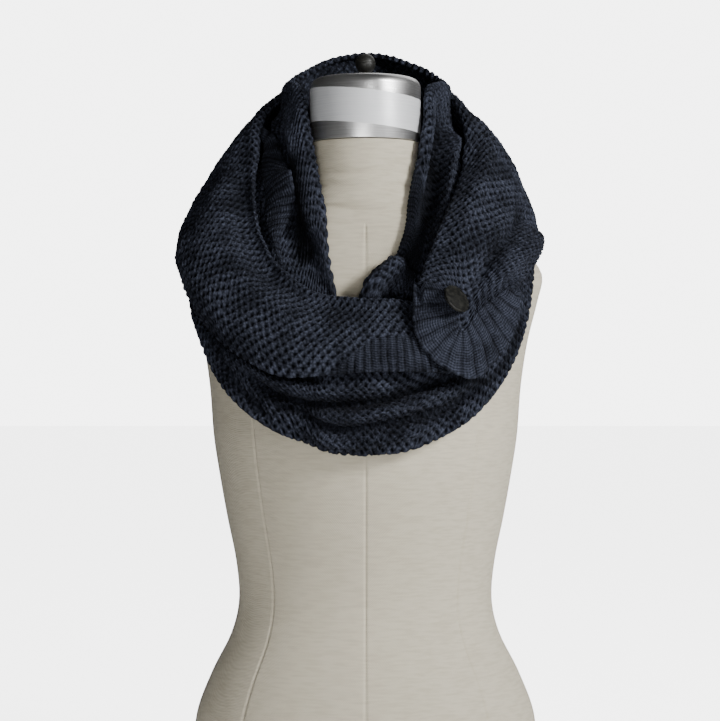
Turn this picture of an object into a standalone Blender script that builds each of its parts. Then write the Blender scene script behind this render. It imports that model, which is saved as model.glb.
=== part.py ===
"""A convertible scarf worn on a limbless dress form.

One long strip of chunky knit with ribbed ends goes twice round the form's neck. The first turn lies
against the neck and shows as an inner collar and as the lowest folds over the chest. The second turn
lies over it and is buttoned at the front, one ribbed end over the other. All the cloth is a wall of
CLOTH_WALL, drawn through sections round the neck.

Metres, +Z up, the form facing -Y. The origin is the middle of the form's flat underside. A turn is an
angle round the neck in degrees, 0 at the front and 90 at +X, and a reach is a distance from its axis.
"""

import math
from typing import NamedTuple

import bmesh
import bpy
import numpy as np
from mathutils import Matrix, Vector

CLOTH_WALL = 0.0045
SEAM_GAP = 0.0006
ROLL_RADIUS = 0.0055
ROLL_ANGLES = (-55, -10, 40, 90)

CAP_RADIUS = 0.057
CAP_BOTTOM = 0.6835
CAP_TOP = 0.7495
CAP_EDGE_RADIUS = 0.006
KNOB_RADIUS = 0.0105
STEM_RADIUS = 0.0035
STEM_HEIGHT = 0.005
STEM_EDGE_RADIUS = 0.0006
CONTACT_GAP = 0.0003

LOWER_WRAP_ROWS = 60
LAP_ROWS = 26
BACK_ROWS = 20
DRAPE_ROWS = 32
FAN_ROWS = 20
DRAPE_COLUMNS = 7
BAND_TURNS = (-13, 0, 8, 36)
BAND_DEPTHS = (0.001, 0.022, 0.036, 0.036)
BAND_START = 0.003
BAND_OVERHANG = 0.001
COLLAR_COLUMNS = 5
BAND_COLUMNS = 3

BUTTON_RADIUS = 0.0145
BUTTON_THICKNESS = 0.0032
BUTTON_EDGE_RADIUS = 0.0009
BUTTON_PLACE = (0.0880, -0.1509, 0.5185)
BUTTON_FACE = (0.61, -0.60, 0.51)

FORM_SIDES = 36
FORM_RINGS = 33


class FormLevel(NamedTuple):
    """A level section of the form: its height, half its width, and its depth to the front and back."""

    height: float
    half_width: float
    front: float
    back: float


FORM_LEVELS = (
    FormLevel(0.000, 0.160, 0.095, 0.108),
    FormLevel(0.045, 0.174, 0.104, 0.122),
    FormLevel(0.095, 0.174, 0.108, 0.124),
    FormLevel(0.140, 0.158, 0.103, 0.111),
    FormLevel(0.180, 0.138, 0.094, 0.092),
    FormLevel(0.215, 0.130, 0.091, 0.084),
    FormLevel(0.255, 0.133, 0.098, 0.085),
    FormLevel(0.300, 0.142, 0.112, 0.091),
    FormLevel(0.345, 0.150, 0.127, 0.097),
    FormLevel(0.385, 0.156, 0.133, 0.102),
    FormLevel(0.435, 0.160, 0.122, 0.105),
    FormLevel(0.480, 0.167, 0.102, 0.105),
    FormLevel(0.520, 0.177, 0.084, 0.102),
    FormLevel(0.548, 0.182, 0.072, 0.094),
    FormLevel(0.568, 0.166, 0.064, 0.085),
    FormLevel(0.585, 0.134, 0.058, 0.075),
    FormLevel(0.600, 0.102, 0.0555, 0.067),
    FormLevel(0.616, 0.076, 0.0548, 0.061),
    FormLevel(0.634, 0.061, 0.0546, 0.0570),
    FormLevel(0.655, 0.0560, 0.0548, 0.0555),
    FormLevel(0.683, 0.0555, 0.0550, 0.0555),
)


class TurnSection(NamedTuple):
    """A section of the first turn at one turn angle, each place a (reach, height) pair."""

    turn: float
    crest: tuple[float, float]
    valley: tuple[float, float]
    shelf: tuple[float, float]
    belly: tuple[float, float]
    hem: tuple[float, float]


FIRST_TURN = (
    TurnSection(-165, (0.0890, 0.789), (0.102, 0.748), (0.109, 0.700), (0.117, 0.640), (0.108, 0.564)),
    TurnSection(-140, (0.0890, 0.773), (0.103, 0.738), (0.111, 0.690), (0.126, 0.632), (0.127, 0.560)),
    TurnSection(-115, (0.0855, 0.754), (0.098, 0.726), (0.107, 0.682), (0.132, 0.630), (0.153, 0.576)),
    TurnSection(-90, (0.0690, 0.747), (0.088, 0.694), (0.108, 0.658), (0.144, 0.628), (0.174, 0.592)),
    TurnSection(-70, (0.0635, 0.722), (0.081, 0.650), (0.113, 0.610), (0.162, 0.578), (0.189, 0.534)),
    TurnSection(-50, (0.0625, 0.660), (0.089, 0.594), (0.130, 0.550), (0.174, 0.498), (0.187, 0.440)),
    TurnSection(-34, (0.0685, 0.606), (0.097, 0.556), (0.138, 0.508), (0.169, 0.452), (0.172, 0.398)),
    TurnSection(-22, (0.0860, 0.545), (0.106, 0.522), (0.142, 0.482), (0.166, 0.436), (0.161, 0.382)),
    TurnSection(-12, (0.0960, 0.506), (0.111, 0.494), (0.145, 0.468), (0.164, 0.426), (0.155, 0.371)),
    TurnSection(-2, (0.0955, 0.511), (0.112, 0.492), (0.145, 0.466), (0.163, 0.424), (0.153, 0.369)),
    TurnSection(4, (0.0925, 0.537), (0.111, 0.502), (0.142, 0.466), (0.161, 0.424), (0.153, 0.370)),
    TurnSection(12, (0.0870, 0.552), (0.108, 0.514), (0.137, 0.469), (0.159, 0.425), (0.155, 0.372)),
    TurnSection(27, (0.0740, 0.575), (0.099, 0.536), (0.127, 0.492), (0.157, 0.437), (0.161, 0.387)),
    TurnSection(45, (0.0635, 0.635), (0.087, 0.593), (0.119, 0.554), (0.157, 0.494), (0.176, 0.428)),
    TurnSection(65, (0.0635, 0.700), (0.077, 0.644), (0.111, 0.609), (0.157, 0.570), (0.180, 0.504)),
    TurnSection(90, (0.0640, 0.744), (0.075, 0.692), (0.103, 0.658), (0.141, 0.624), (0.170, 0.588)),
    TurnSection(115, (0.0870, 0.755), (0.099, 0.727), (0.107, 0.682), (0.132, 0.628), (0.152, 0.575)),
    TurnSection(140, (0.0900, 0.774), (0.103, 0.738), (0.111, 0.690), (0.126, 0.632), (0.127, 0.562)),
    TurnSection(167, (0.0890, 0.790), (0.102, 0.748), (0.109, 0.700), (0.117, 0.640), (0.108, 0.562)),
)


class DrapeSection(NamedTuple):
    """A section of the second turn at one turn angle, each place a (reach, height) pair."""

    turn: float
    edge: tuple[float, float]
    slope: tuple[float, float]
    panel: tuple[float, float]
    belly: tuple[float, float]
    hem: tuple[float, float]


SECOND_TURN_LEFT = (
    DrapeSection(-119, (0.1020, 0.738), (0.124, 0.722), (0.146, 0.684), (0.161, 0.640), (0.168, 0.590)),
    DrapeSection(-100, (0.1050, 0.712), (0.124, 0.709), (0.147, 0.680), (0.170, 0.642), (0.186, 0.594)),
    DrapeSection(-85, (0.1082, 0.668), (0.125, 0.668), (0.156, 0.645), (0.185, 0.610), (0.195, 0.570)),
    DrapeSection(-72, (0.1152, 0.630), (0.129, 0.630), (0.166, 0.609), (0.198, 0.578), (0.197, 0.545)),
    DrapeSection(-58, (0.1201, 0.5835), (0.133, 0.583), (0.170, 0.561), (0.196, 0.531), (0.194, 0.502)),
    DrapeSection(-42, (0.1203, 0.549), (0.133, 0.545), (0.164, 0.523), (0.187, 0.492), (0.188, 0.467)),
    DrapeSection(-26, (0.1165, 0.526), (0.131, 0.522), (0.157, 0.501), (0.179, 0.470), (0.181, 0.446)),
    DrapeSection(-9, (0.1165, 0.519), (0.129, 0.515), (0.149, 0.497), (0.170, 0.470), (0.1745, 0.449)),
    DrapeSection(8, (0.1195, 0.518), (0.131, 0.514), (0.148, 0.496), (0.167, 0.470), (0.1715, 0.452)),
    DrapeSection(22, (0.1260, 0.516), (0.138, 0.512), (0.151, 0.495), (0.166, 0.470), (0.1705, 0.451)),
    DrapeSection(36, (0.1335, 0.514), (0.145, 0.509), (0.154, 0.492), (0.166, 0.468), (0.1700, 0.450)),
)

SECOND_TURN_BACK = (
    DrapeSection(118, (0.1014, 0.7385), (0.122, 0.725), (0.147, 0.690), (0.163, 0.644), (0.167, 0.588)),
    DrapeSection(140, (0.1049, 0.7542), (0.126, 0.742), (0.140, 0.700), (0.151, 0.650), (0.146, 0.586)),
    DrapeSection(165, (0.1045, 0.763), (0.124, 0.753), (0.133, 0.708), (0.141, 0.655), (0.132, 0.592)),
    DrapeSection(195, (0.1045, 0.763), (0.124, 0.753), (0.133, 0.708), (0.141, 0.652), (0.131, 0.580)),
    DrapeSection(220, (0.1035, 0.753), (0.126, 0.742), (0.140, 0.700), (0.150, 0.648), (0.145, 0.580)),
)


class LapSection(NamedTuple):
    """A section across the right lap of the second turn, each place in x, y and z."""

    edge: tuple[float, float, float]
    face: tuple[float, float, float]
    middle: tuple[float, float, float]
    side: tuple[float, float, float]
    outer: tuple[float, float, float]


SECOND_TURN_RIGHT = (
    LapSection(
        (0.1000, 0.0180, 0.705),
        (0.1220, 0.0240, 0.709),
        (0.1470, 0.0300, 0.680),
        (0.1660, 0.0380, 0.640),
        (0.1780, 0.0440, 0.592),
    ),
    LapSection(
        (0.0985, -0.0150, 0.662),
        (0.1190, -0.0150, 0.676),
        (0.1450, -0.0080, 0.662),
        (0.1690, 0.0000, 0.626),
        (0.1830, 0.0120, 0.586),
    ),
    LapSection(
        (0.0885, -0.0530, 0.625),
        (0.1060, -0.0590, 0.636),
        (0.1340, -0.0580, 0.624),
        (0.1600, -0.0440, 0.606),
        (0.1770, -0.0220, 0.584),
    ),
    LapSection(
        (0.0735, -0.0900, 0.592),
        (0.0910, -0.0990, 0.598),
        (0.1180, -0.1010, 0.588),
        (0.1520, -0.0850, 0.580),
        (0.1760, -0.0530, 0.567),
    ),
    LapSection(
        (0.0603, -0.1140, 0.560),
        (0.0785, -0.1250, 0.562),
        (0.1020, -0.1280, 0.543),
        (0.1335, -0.1110, 0.553),
        (0.1640, -0.0800, 0.549),
    ),
    LapSection(
        (0.0500, -0.1350, 0.533),
        (0.0745, -0.1450, 0.530),
        (0.0905, -0.1490, 0.490),
        (0.1085, -0.1400, 0.508),
        (0.1445, -0.1160, 0.535),
    ),
)


class FanSection(NamedTuple):
    """A rib of the fanned end band, from its inner place by the button to its outer one, in x, y and z."""

    inner: tuple[float, float, float]
    outer: tuple[float, float, float]


END_FAN = (
    FanSection((0.0755, -0.1465, 0.5225), (0.0485, -0.1385, 0.5270)),
    FanSection((0.0765, -0.1490, 0.5120), (0.0462, -0.1470, 0.5090)),
    FanSection((0.0790, -0.1510, 0.5010), (0.0480, -0.1560, 0.4890)),
    FanSection((0.0825, -0.1530, 0.4890), (0.0600, -0.1610, 0.4675)),
    FanSection((0.0900, -0.1520, 0.4840), (0.0815, -0.1600, 0.4515)),
    FanSection((0.0985, -0.1480, 0.4890), (0.1045, -0.1520, 0.4445)),
    FanSection((0.1065, -0.1435, 0.4965), (0.1205, -0.1420, 0.4565)),
    FanSection((0.1145, -0.1380, 0.5045), (0.1355, -0.1310, 0.4735)),
    FanSection((0.1260, -0.1305, 0.5145), (0.1470, -0.1190, 0.4990)),
    FanSection((0.1415, -0.1190, 0.5275), (0.1520, -0.1085, 0.5285)),
)


class BandSection(NamedTuple):
    """A section of the turned-in edge band at one turn angle, its two sides as shares of the collar."""

    turn: float
    inner: float
    outer: float


EDGE_BAND_LEFT = (
    BandSection(-98, 0.62, 0.90),
    BandSection(-88, 0.52, 0.90),
    BandSection(-76, 0.44, 0.90),
    BandSection(-64, 0.42, 0.86),
    BandSection(-55, 0.52, 0.80),
)


def polar(turn, reach, height):
    """The point at a turn angle in degrees, a reach from the neck's axis and a height."""
    angle = math.radians(turn)
    return (reach * math.sin(angle), -reach * math.cos(angle), height)


def net_of_turns(sections):
    """The grid of points of sections that hold (reach, height) pairs, a row for each section."""
    return np.array([[polar(row.turn, *place) for place in row[1:]] for row in sections])


def net_of_places(sections):
    """The grid of points of sections that hold x, y and z."""
    return np.array([list(row) for row in sections])


def unit(vectors):
    """The vectors at length 1."""
    return vectors / np.maximum(np.linalg.norm(vectors, axis=-1, keepdims=True), 1e-9)


def knots_of(net, axis, closed=False):
    """The mean distance along the net from its first row or column to each of its others."""
    steps = np.diff(net, axis=axis)
    if closed:
        steps = np.concatenate([steps, net[:1] - net[-1:]], axis=0)
    lengths = np.linalg.norm(steps, axis=2).mean(axis=1 - axis)
    return np.concatenate([[0.0], np.cumsum(lengths)])


def smooth(knots, values, at, closed=False):
    """A smooth curve through the values at the knots, read at the given places."""
    if closed:
        span = knots[-1]
        knots = np.concatenate([[knots[-2] - span], knots, [span + knots[1]]])
        values = np.concatenate([values[-1:], values, values[:2]])
    slopes = np.gradient(values, knots, axis=0, edge_order=1)
    index = np.clip(np.searchsorted(knots, at, side="right") - 1, 0, len(knots) - 2)
    step = knots[index + 1] - knots[index]
    share = (at - knots[index]) / step
    shape = (-1,) + (1,) * (values.ndim - 1)
    share, step = share.reshape(shape), step.reshape(shape)
    return (
        (2 * share**3 - 3 * share**2 + 1) * values[index]
        + (share**3 - 2 * share**2 + share) * step * slopes[index]
        + (3 * share**2 - 2 * share**3) * values[index + 1]
        + (share**3 - share**2) * step * slopes[index + 1]
    )


def along_of(grid, closed=False):
    """Unit directions of a grid of points along its rows."""
    if closed:
        return unit(np.roll(grid, -1, axis=0) - np.roll(grid, 1, axis=0))
    return unit(np.gradient(grid, axis=0))


def normals_of(grid, closed=False):
    """Unit normals of a grid of points, outward where it runs anticlockwise and from the neck out."""
    return unit(np.cross(np.gradient(grid, axis=1), along_of(grid, closed)))


def with_rolled_edge(net, closed=False):
    """The net with its first column turned under in a round roll."""
    normal = normals_of(net, closed)[:, 0]
    into = np.cross(along_of(net, closed)[:, 0], normal)
    middle = net[:, 0] + ROLL_RADIUS * into
    roll = []
    for angle in np.radians(ROLL_ANGLES):
        roll.append(middle + ROLL_RADIUS * (math.sin(angle) * normal - math.cos(angle) * into))
    return np.concatenate([np.stack(roll, axis=1), net[:, 1:]], axis=1)


class Fold(NamedTuple):
    """A ridge, or with a negative lift a trough, along a line of places on the cloth in x, y and z."""

    places: tuple[tuple[float, float, float], ...]
    width: float
    lift: float


COLLAR_FOLDS = (
    Fold(((-0.086, 0.045, 0.748), (-0.094, 0.015, 0.718), (-0.094, -0.010, 0.680)), 0.010, 0.009),
    Fold(
        (
            (0.096, 0.030, 0.735),
            (0.092, 0.005, 0.712),
            (0.088, -0.012, 0.674),
            (0.081, -0.042, 0.628),
            (0.072, -0.070, 0.575),
        ),
        0.010,
        0.011,
    ),
)
LOWER_FOLDS = (
    Fold(((-0.085, -0.150, 0.415), (0.000, -0.165, 0.400), (0.085, -0.145, 0.425)), 0.012, 0.006),
    Fold(((-0.090, -0.140, 0.440), (0.000, -0.160, 0.425), (0.070, -0.150, 0.440)), 0.009, -0.005),
)
LAP_FOLDS = (
    Fold(((0.178, -0.030, 0.605), (0.150, -0.077, 0.582), (0.108, -0.127, 0.537)), 0.011, -0.008),
    Fold(((0.182, -0.045, 0.572), (0.155, -0.085, 0.553), (0.112, -0.133, 0.520)), 0.010, 0.006),
)
BACK_FOLDS = (
    Fold(((0.120, 0.085, 0.700), (0.030, 0.134, 0.680), (-0.060, 0.120, 0.690)), 0.011, -0.006),
    Fold(((0.080, 0.120, 0.640), (-0.020, 0.141, 0.625), (-0.120, 0.085, 0.640)), 0.013, 0.006),
)


def with_folds(grid, folds, closed=False):
    """The grid moved out along its normals by its folds."""
    normals = normals_of(grid, closed)
    moved = np.zeros(grid.shape[:2])
    for fold in folds:
        line = np.array(fold.places)
        nearest = np.full(grid.shape[:2], np.inf)
        fade = np.ones(grid.shape[:2])
        count = len(line) - 1
        for number in range(count):
            start, step = line[number], line[number + 1] - line[number]
            share = np.clip(((grid - start) @ step) / (step @ step), 0, 1)
            away = np.linalg.norm(grid - start - share[..., None] * step, axis=2)
            whole = (number + share) / count
            fade = np.where(away < nearest, np.clip(4 * np.minimum(whole, 1 - whole) + 0.15, 0, 1), fade)
            nearest = np.minimum(nearest, away)
        moved += fold.lift * fade * np.exp(-((nearest / fold.width) ** 2))
    return grid + moved[..., None] * normals


def patch(net, along, across, closed=False):
    """The points of a net's smooth surface at places along it and across it.

    along holds knot places along the rows; across holds, for each of them, the knot places across.
    """
    rows = smooth(knots_of(net, 0, closed), net, along, closed)
    knots = knots_of(net, 1)
    return np.stack([smooth(knots, row, places) for row, places in zip(rows, across)])


def span(first, last, count):
    """Evenly spaced places from the first to the last."""
    return np.linspace(first, last, count)


def rolled_span(out, last, count):
    """Places across a rolled edge, at each place of the roll and then evenly on to the last."""
    crown = len(ROLL_ANGLES) - 1
    return np.concatenate([out[:crown], span(out[crown], last, count + 1)])


def paint(name, colour, roughness, metallic=0.0):
    """A material of one Principled shader."""
    material = bpy.data.materials.new(name)
    material.use_nodes = True
    shader = material.node_tree.nodes["Principled BSDF"]
    shader.inputs["Base Color"].default_value = (*colour, 1.0)
    shader.inputs["Roughness"].default_value = roughness
    shader.inputs["Metallic"].default_value = metallic
    return material


def put(name, mesh, material, collection):
    """A new object of a mesh, smooth, in the part's collection."""
    mesh.materials.append(material)
    mesh.shade_smooth()
    piece = bpy.data.objects.new(name, mesh)
    collection.objects.link(piece)
    return piece


def cloth(name, grid, material, collection, closed=False):
    """A cloth wall whose outer face is a grid of points."""
    rows, columns = grid.shape[:2]
    mesh = bpy.data.meshes.new(name)
    faces = []
    for row in range(rows if closed else rows - 1):
        following = (row + 1) % rows
        for column in range(columns - 1):
            faces.append(
                (
                    row * columns + column,
                    row * columns + column + 1,
                    following * columns + column + 1,
                    following * columns + column,
                )
            )
    mesh.from_pydata(grid.reshape(-1, 3).tolist(), [], faces)
    piece = put(name, mesh, material, collection)
    wall = piece.modifiers.new("Wall", "SOLIDIFY")
    wall.thickness = CLOTH_WALL
    wall.offset = -1.0
    return piece


def first_turn(collection, knit, rib):
    """The first turn: the collar by the neck in its stretches, and the lower wrap below the shelf."""
    net = with_rolled_edge(net_of_turns(FIRST_TURN), closed=True)
    around, out = knots_of(net, 0, closed=True), knots_of(net, 1)
    valley, shelf, hem = out[-4], out[-3], out[-1]
    turns = [row.turn for row in FIRST_TURN]

    def at_turn(turn):
        return float(np.interp(turn, [*turns, turns[0] + 360], around))

    def stretch(name, start, end, count, places, material):
        along = span(at_turn(start) + SEAM_GAP, at_turn(end) - SEAM_GAP, count)
        grid = with_folds(patch(net, along, [places] * count, closed=True), COLLAR_FOLDS)
        cloth(name, grid, material, collection)

    band_edge = valley + BAND_OVERHANG
    whole = rolled_span(out, shelf, COLLAR_COLUMNS)
    narrow = rolled_span(out, band_edge, BAND_COLUMNS)
    outer_part = span(band_edge + 2 * SEAM_GAP, shelf, COLLAR_COLUMNS)

    stretch("first_turn_collar_left", -165, -1.2, 30, whole, knit)
    stretch("first_turn_inner_roll", -0.6, 21, 7, whole, knit)
    stretch("first_turn_inner_band", 22.6, 44.6, 10, narrow, rib)
    stretch("first_turn_collar_front", 21.7, 46, 8, outer_part, knit)
    stretch("first_turn_collar_right", 46.3, 195, 28, whole, knit)

    along = span(at_turn(EDGE_BAND_LEFT[0].turn), at_turn(EDGE_BAND_LEFT[-1].turn), 14)
    places = [at_turn(row.turn) for row in EDGE_BAND_LEFT]
    inner = np.interp(along, places, [row.inner * shelf for row in EDGE_BAND_LEFT])
    outer = np.interp(along, places, [row.outer * shelf for row in EDGE_BAND_LEFT])
    across = [span(low, high, 5) for low, high in zip(inner, outer)]
    grid = with_folds(patch(net, along, across, closed=True), COLLAR_FOLDS)
    cloth("edge_band_left", grid + (CLOTH_WALL + 4 * SEAM_GAP) * normals_of(grid), rib, collection)

    along = span(0, around[-1], LOWER_WRAP_ROWS + 1)[:-1]
    across = [span(shelf + 4 * SEAM_GAP, hem, 9)] * len(along)
    lower = with_folds(patch(net, along, across, closed=True), LOWER_FOLDS, closed=True)
    cloth("first_turn_lower_wrap", lower, knit, collection, closed=True)



def second_turn(collection, knit, rib):
    """The second turn: right lap, back and left drape in one run, with its two ribbed ends."""
    right = net_of_places(SECOND_TURN_RIGHT)[::-1]
    net = np.concatenate([right, net_of_turns(SECOND_TURN_BACK), net_of_turns(SECOND_TURN_LEFT)])
    net = with_rolled_edge(net)
    around, out = knots_of(net, 0), knots_of(net, 1)
    back_start = around[len(SECOND_TURN_RIGHT)]
    left_start = around[-len(SECOND_TURN_LEFT)]
    turns = [row.turn for row in SECOND_TURN_LEFT]

    def at_turn(turn):
        return float(np.interp(turn, turns, around[-len(turns) :]))

    def run(name, along, across, folds, material):
        cloth(name, with_folds(patch(net, along, across), folds), material, collection)

    whole = rolled_span(out, out[-1], DRAPE_COLUMNS)
    along = span(around[0], back_start - SEAM_GAP, LAP_ROWS)
    run("second_turn_right_lap", along, [whole] * len(along), LAP_FOLDS, knit)
    along = span(back_start + 2 * SEAM_GAP, left_start - 2 * SEAM_GAP, BACK_ROWS)
    run("second_turn_back", along, [whole] * len(along), BACK_FOLDS, knit)

    along = span(left_start + SEAM_GAP, around[-1], DRAPE_ROWS)
    hems = out[-1] - np.interp(along, [at_turn(turn) for turn in BAND_TURNS], BAND_DEPTHS, left=0.0)
    across = [rolled_span(out, hem, DRAPE_COLUMNS) for hem in hems]
    run("second_turn_left_drape", along, across, (), knit)
    under = along > at_turn(BAND_TURNS[0]) + BAND_START
    across = [span(hem + 4 * SEAM_GAP, out[-1], 4) for hem in hems[under]]
    run("end_band_under", along[under], across, (), rib)

    net = net_of_places(END_FAN)
    around, out = knots_of(net, 0), knots_of(net, 1)
    along = span(around[0], around[-1], FAN_ROWS)
    across = [span(out[0], out[-1], 5)] * len(along)
    cloth("end_band_front", patch(net, along, across), rib, collection)


def loft(name, rings, material, collection):
    """A closed solid through rings of points, with flat ends."""
    sides = len(rings[0])
    points = [point for ring in rings for point in ring]
    faces = [tuple(reversed(range(sides)))]
    for level in range(len(rings) - 1):
        for side in range(sides):
            following = (side + 1) % sides
            faces.append(
                (
                    level * sides + side,
                    level * sides + following,
                    (level + 1) * sides + following,
                    (level + 1) * sides + side,
                )
            )
    faces.append(tuple(range((len(rings) - 1) * sides, len(rings) * sides)))
    mesh = bpy.data.meshes.new(name)
    mesh.from_pydata(points, [], faces)
    piece = put(name, mesh, material, collection)
    mesh.set_sharp_from_angle(angle=math.radians(50))
    return piece


def dress_form(collection, canvas):
    """The form's body and neck in one, closed and flat underneath."""
    sizes = np.array([list(level) for level in FORM_LEVELS])
    knots = np.arange(len(sizes), dtype=float)
    rings = []
    for height, half_width, front, back in smooth(knots, sizes, span(0, knots[-1], FORM_RINGS)):
        ring = []
        for side in range(FORM_SIDES):
            angle = 2 * math.pi * side / FORM_SIDES
            depth = back if math.sin(angle) > 0 else front
            ring.append((half_width * math.cos(angle), depth * math.sin(angle), height))
        rings.append(ring)
    loft("form_body", rings, canvas, collection)


def round_solid(name, radius, bottom, top, edge, sides, material, collection):
    """An upright cylinder with rounded edges."""
    mesh = bpy.data.meshes.new(name)
    shape = bmesh.new()
    bmesh.ops.create_cone(
        shape,
        cap_ends=True,
        segments=sides,
        radius1=radius,
        radius2=radius,
        depth=top - bottom,
        matrix=Matrix.Translation((0, 0, (top + bottom) / 2)),
    )
    shape.to_mesh(mesh)
    shape.free()
    piece = put(name, mesh, material, collection)
    bevel = piece.modifiers.new("Edges", "BEVEL")
    bevel.width = edge
    bevel.segments = 3
    bevel.limit_method = "ANGLE"
    return piece


def neck_cap(collection, metal, brass, rubber):
    """The metal cap on the form's neck, with its stem and knob."""
    cap_bottom = CAP_BOTTOM + CONTACT_GAP
    round_solid("neck_cap", CAP_RADIUS, cap_bottom, CAP_TOP, CAP_EDGE_RADIUS, 40, metal, collection)
    stem_bottom = CAP_TOP + CONTACT_GAP
    stem_top = stem_bottom + STEM_HEIGHT
    round_solid("knob_stem", STEM_RADIUS, stem_bottom, stem_top, STEM_EDGE_RADIUS, 16, brass, collection)
    mesh = bpy.data.meshes.new("cap_knob")
    shape = bmesh.new()
    bmesh.ops.create_uvsphere(
        shape,
        u_segments=20,
        v_segments=12,
        radius=KNOB_RADIUS,
        matrix=Matrix.Translation((0, 0, stem_top + CONTACT_GAP + KNOB_RADIUS)),
    )
    shape.to_mesh(mesh)
    shape.free()
    put("cap_knob", mesh, rubber, collection)


def button(collection, horn):
    """The round horn button that closes the two ends."""
    turned = Vector((0, 0, 1)).rotation_difference(Vector(BUTTON_FACE)).to_matrix().to_4x4()
    mesh = bpy.data.meshes.new("button")
    shape = bmesh.new()
    bmesh.ops.create_cone(
        shape,
        cap_ends=True,
        segments=32,
        radius1=BUTTON_RADIUS,
        radius2=BUTTON_RADIUS,
        depth=BUTTON_THICKNESS,
        matrix=Matrix.Translation(BUTTON_PLACE) @ turned,
    )
    shape.to_mesh(mesh)
    shape.free()
    piece = put("button", mesh, horn, collection)
    bevel = piece.modifiers.new("Edges", "BEVEL")
    bevel.width = BUTTON_EDGE_RADIUS
    bevel.segments = 2
    bevel.limit_method = "ANGLE"
    return piece


def main():
    """Clears the scene and builds every piece."""
    for thing in list(bpy.data.objects):
        bpy.data.objects.remove(thing, do_unlink=True)
    collection = bpy.data.collections.new("scarf_on_dress_form")
    bpy.context.scene.collection.children.link(collection)
    knit = paint("navy_knit", (0.035, 0.045, 0.070), 0.85)
    rib = paint("navy_rib", (0.038, 0.049, 0.076), 0.85)
    first_turn(collection, knit, rib)
    second_turn(collection, knit, rib)
    button(collection, paint("horn", (0.09, 0.08, 0.07), 0.35))
    dress_form(collection, paint("canvas", (0.68, 0.60, 0.48), 0.9))
    neck_cap(
        collection,
        paint("brushed_cap", (0.62, 0.61, 0.60), 0.35, 0.9),
        paint("brass", (0.70, 0.52, 0.25), 0.35, 1.0),
        paint("dark_knob", (0.05, 0.05, 0.05), 0.5),
    )


main()
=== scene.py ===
"""Dresses a chunky knitted convertible scarf, wound twice round a limbless dress form.

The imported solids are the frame. Each stretch of the scarf is a shell of knitted cloth on the form of its
solid, with its rolled edge, its folds and its raised stitches. The dress form gets canvas with sewn seams,
and its neck cap gets brushed metal. Metres, +Z up, the form facing -Y. A turn is an angle round the neck in
degrees, 0 at the front and 90 at +X, and a reach is a distance from the neck's axis.
"""

import logging
import math
from collections.abc import Callable, Sequence
from dataclasses import dataclass, field
from enum import Enum
from typing import NamedTuple

import bpy
import numpy as np
from bpy.types import Material, Mesh, MeshPolygon, Node, NodeSocket, NodeTree, Object
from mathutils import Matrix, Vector
from numpy.linalg import norm


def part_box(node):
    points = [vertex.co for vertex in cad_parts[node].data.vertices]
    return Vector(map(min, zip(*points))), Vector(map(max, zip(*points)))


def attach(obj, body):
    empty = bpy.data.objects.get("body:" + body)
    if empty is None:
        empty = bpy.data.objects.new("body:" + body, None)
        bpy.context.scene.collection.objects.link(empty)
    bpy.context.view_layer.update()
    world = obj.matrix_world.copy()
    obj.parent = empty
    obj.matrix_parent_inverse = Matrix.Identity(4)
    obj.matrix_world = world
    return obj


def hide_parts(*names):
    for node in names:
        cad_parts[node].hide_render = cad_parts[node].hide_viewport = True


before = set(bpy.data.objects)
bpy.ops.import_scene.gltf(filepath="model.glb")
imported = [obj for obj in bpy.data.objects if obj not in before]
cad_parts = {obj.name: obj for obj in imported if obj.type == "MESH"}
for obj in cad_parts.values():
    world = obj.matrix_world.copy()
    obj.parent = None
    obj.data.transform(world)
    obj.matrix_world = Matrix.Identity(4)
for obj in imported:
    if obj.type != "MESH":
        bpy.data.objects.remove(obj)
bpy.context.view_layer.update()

Array = np.ndarray
Pair = tuple[float, float]
Point = tuple[float, float, float]
Colour = tuple[float, float, float, float]

LOG = logging.getLogger("scarf")

CLOTH_WALL = 0.0045
ROLL_RADIUS = 0.0055
ROLL_ANGLES = (-55, -10, 40, 90)
LAYER_GAP = 0.0006
JOIN_GAP = 0.0002
STITCH_WIDTH = 0.0094
STITCH_HEIGHT = 0.0128
RIB_PITCH = 0.0078
FAN_RIB_PITCH = 0.015
STITCH_COLUMN = 0.0031
INNER_RIB_PITCH = 0.0052
LOOPS_ACROSS = 3.0
LOOPS_UP = 4.0
WANDER_ALONG = (0.0011, 0.0005)
WANDER_ACROSS = (0.0014, 0.0007)


class Side(Enum):
    """A side of a stretch of cloth: its first and last rows, and its inner and outer columns."""

    START = "start"
    END = "end"
    INNER = "inner"
    OUTER = "outer"


class TurnSection(NamedTuple):
    """A section of the first turn at one turn angle, each place a (reach, height) pair."""

    turn: float
    crest: Pair
    valley: Pair
    shelf: Pair
    belly: Pair
    hem: Pair


class DrapeSection(NamedTuple):
    """A section of the second turn at one turn angle, each place a (reach, height) pair."""

    turn: float
    edge: Pair
    slope: Pair
    panel: Pair
    belly: Pair
    hem: Pair


class LapSection(NamedTuple):
    """A section across the right lap of the second turn, each place in x, y and z."""

    edge: Point
    face: Point
    middle: Point
    side: Point
    outer: Point


class FanSection(NamedTuple):
    """A rib of the fanned end band, from its inner place by the button to its outer one."""

    inner: Point
    outer: Point


class BandSection(NamedTuple):
    """A rib of the turned-in edge band, each end a (turn, share of the collar's width) pair."""

    inner: Pair
    outer: Pair


class FormLevel(NamedTuple):
    """A level section of the form: its height, half its width, and its depth to front and back."""

    height: float
    half_width: float
    front: float
    back: float


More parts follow.
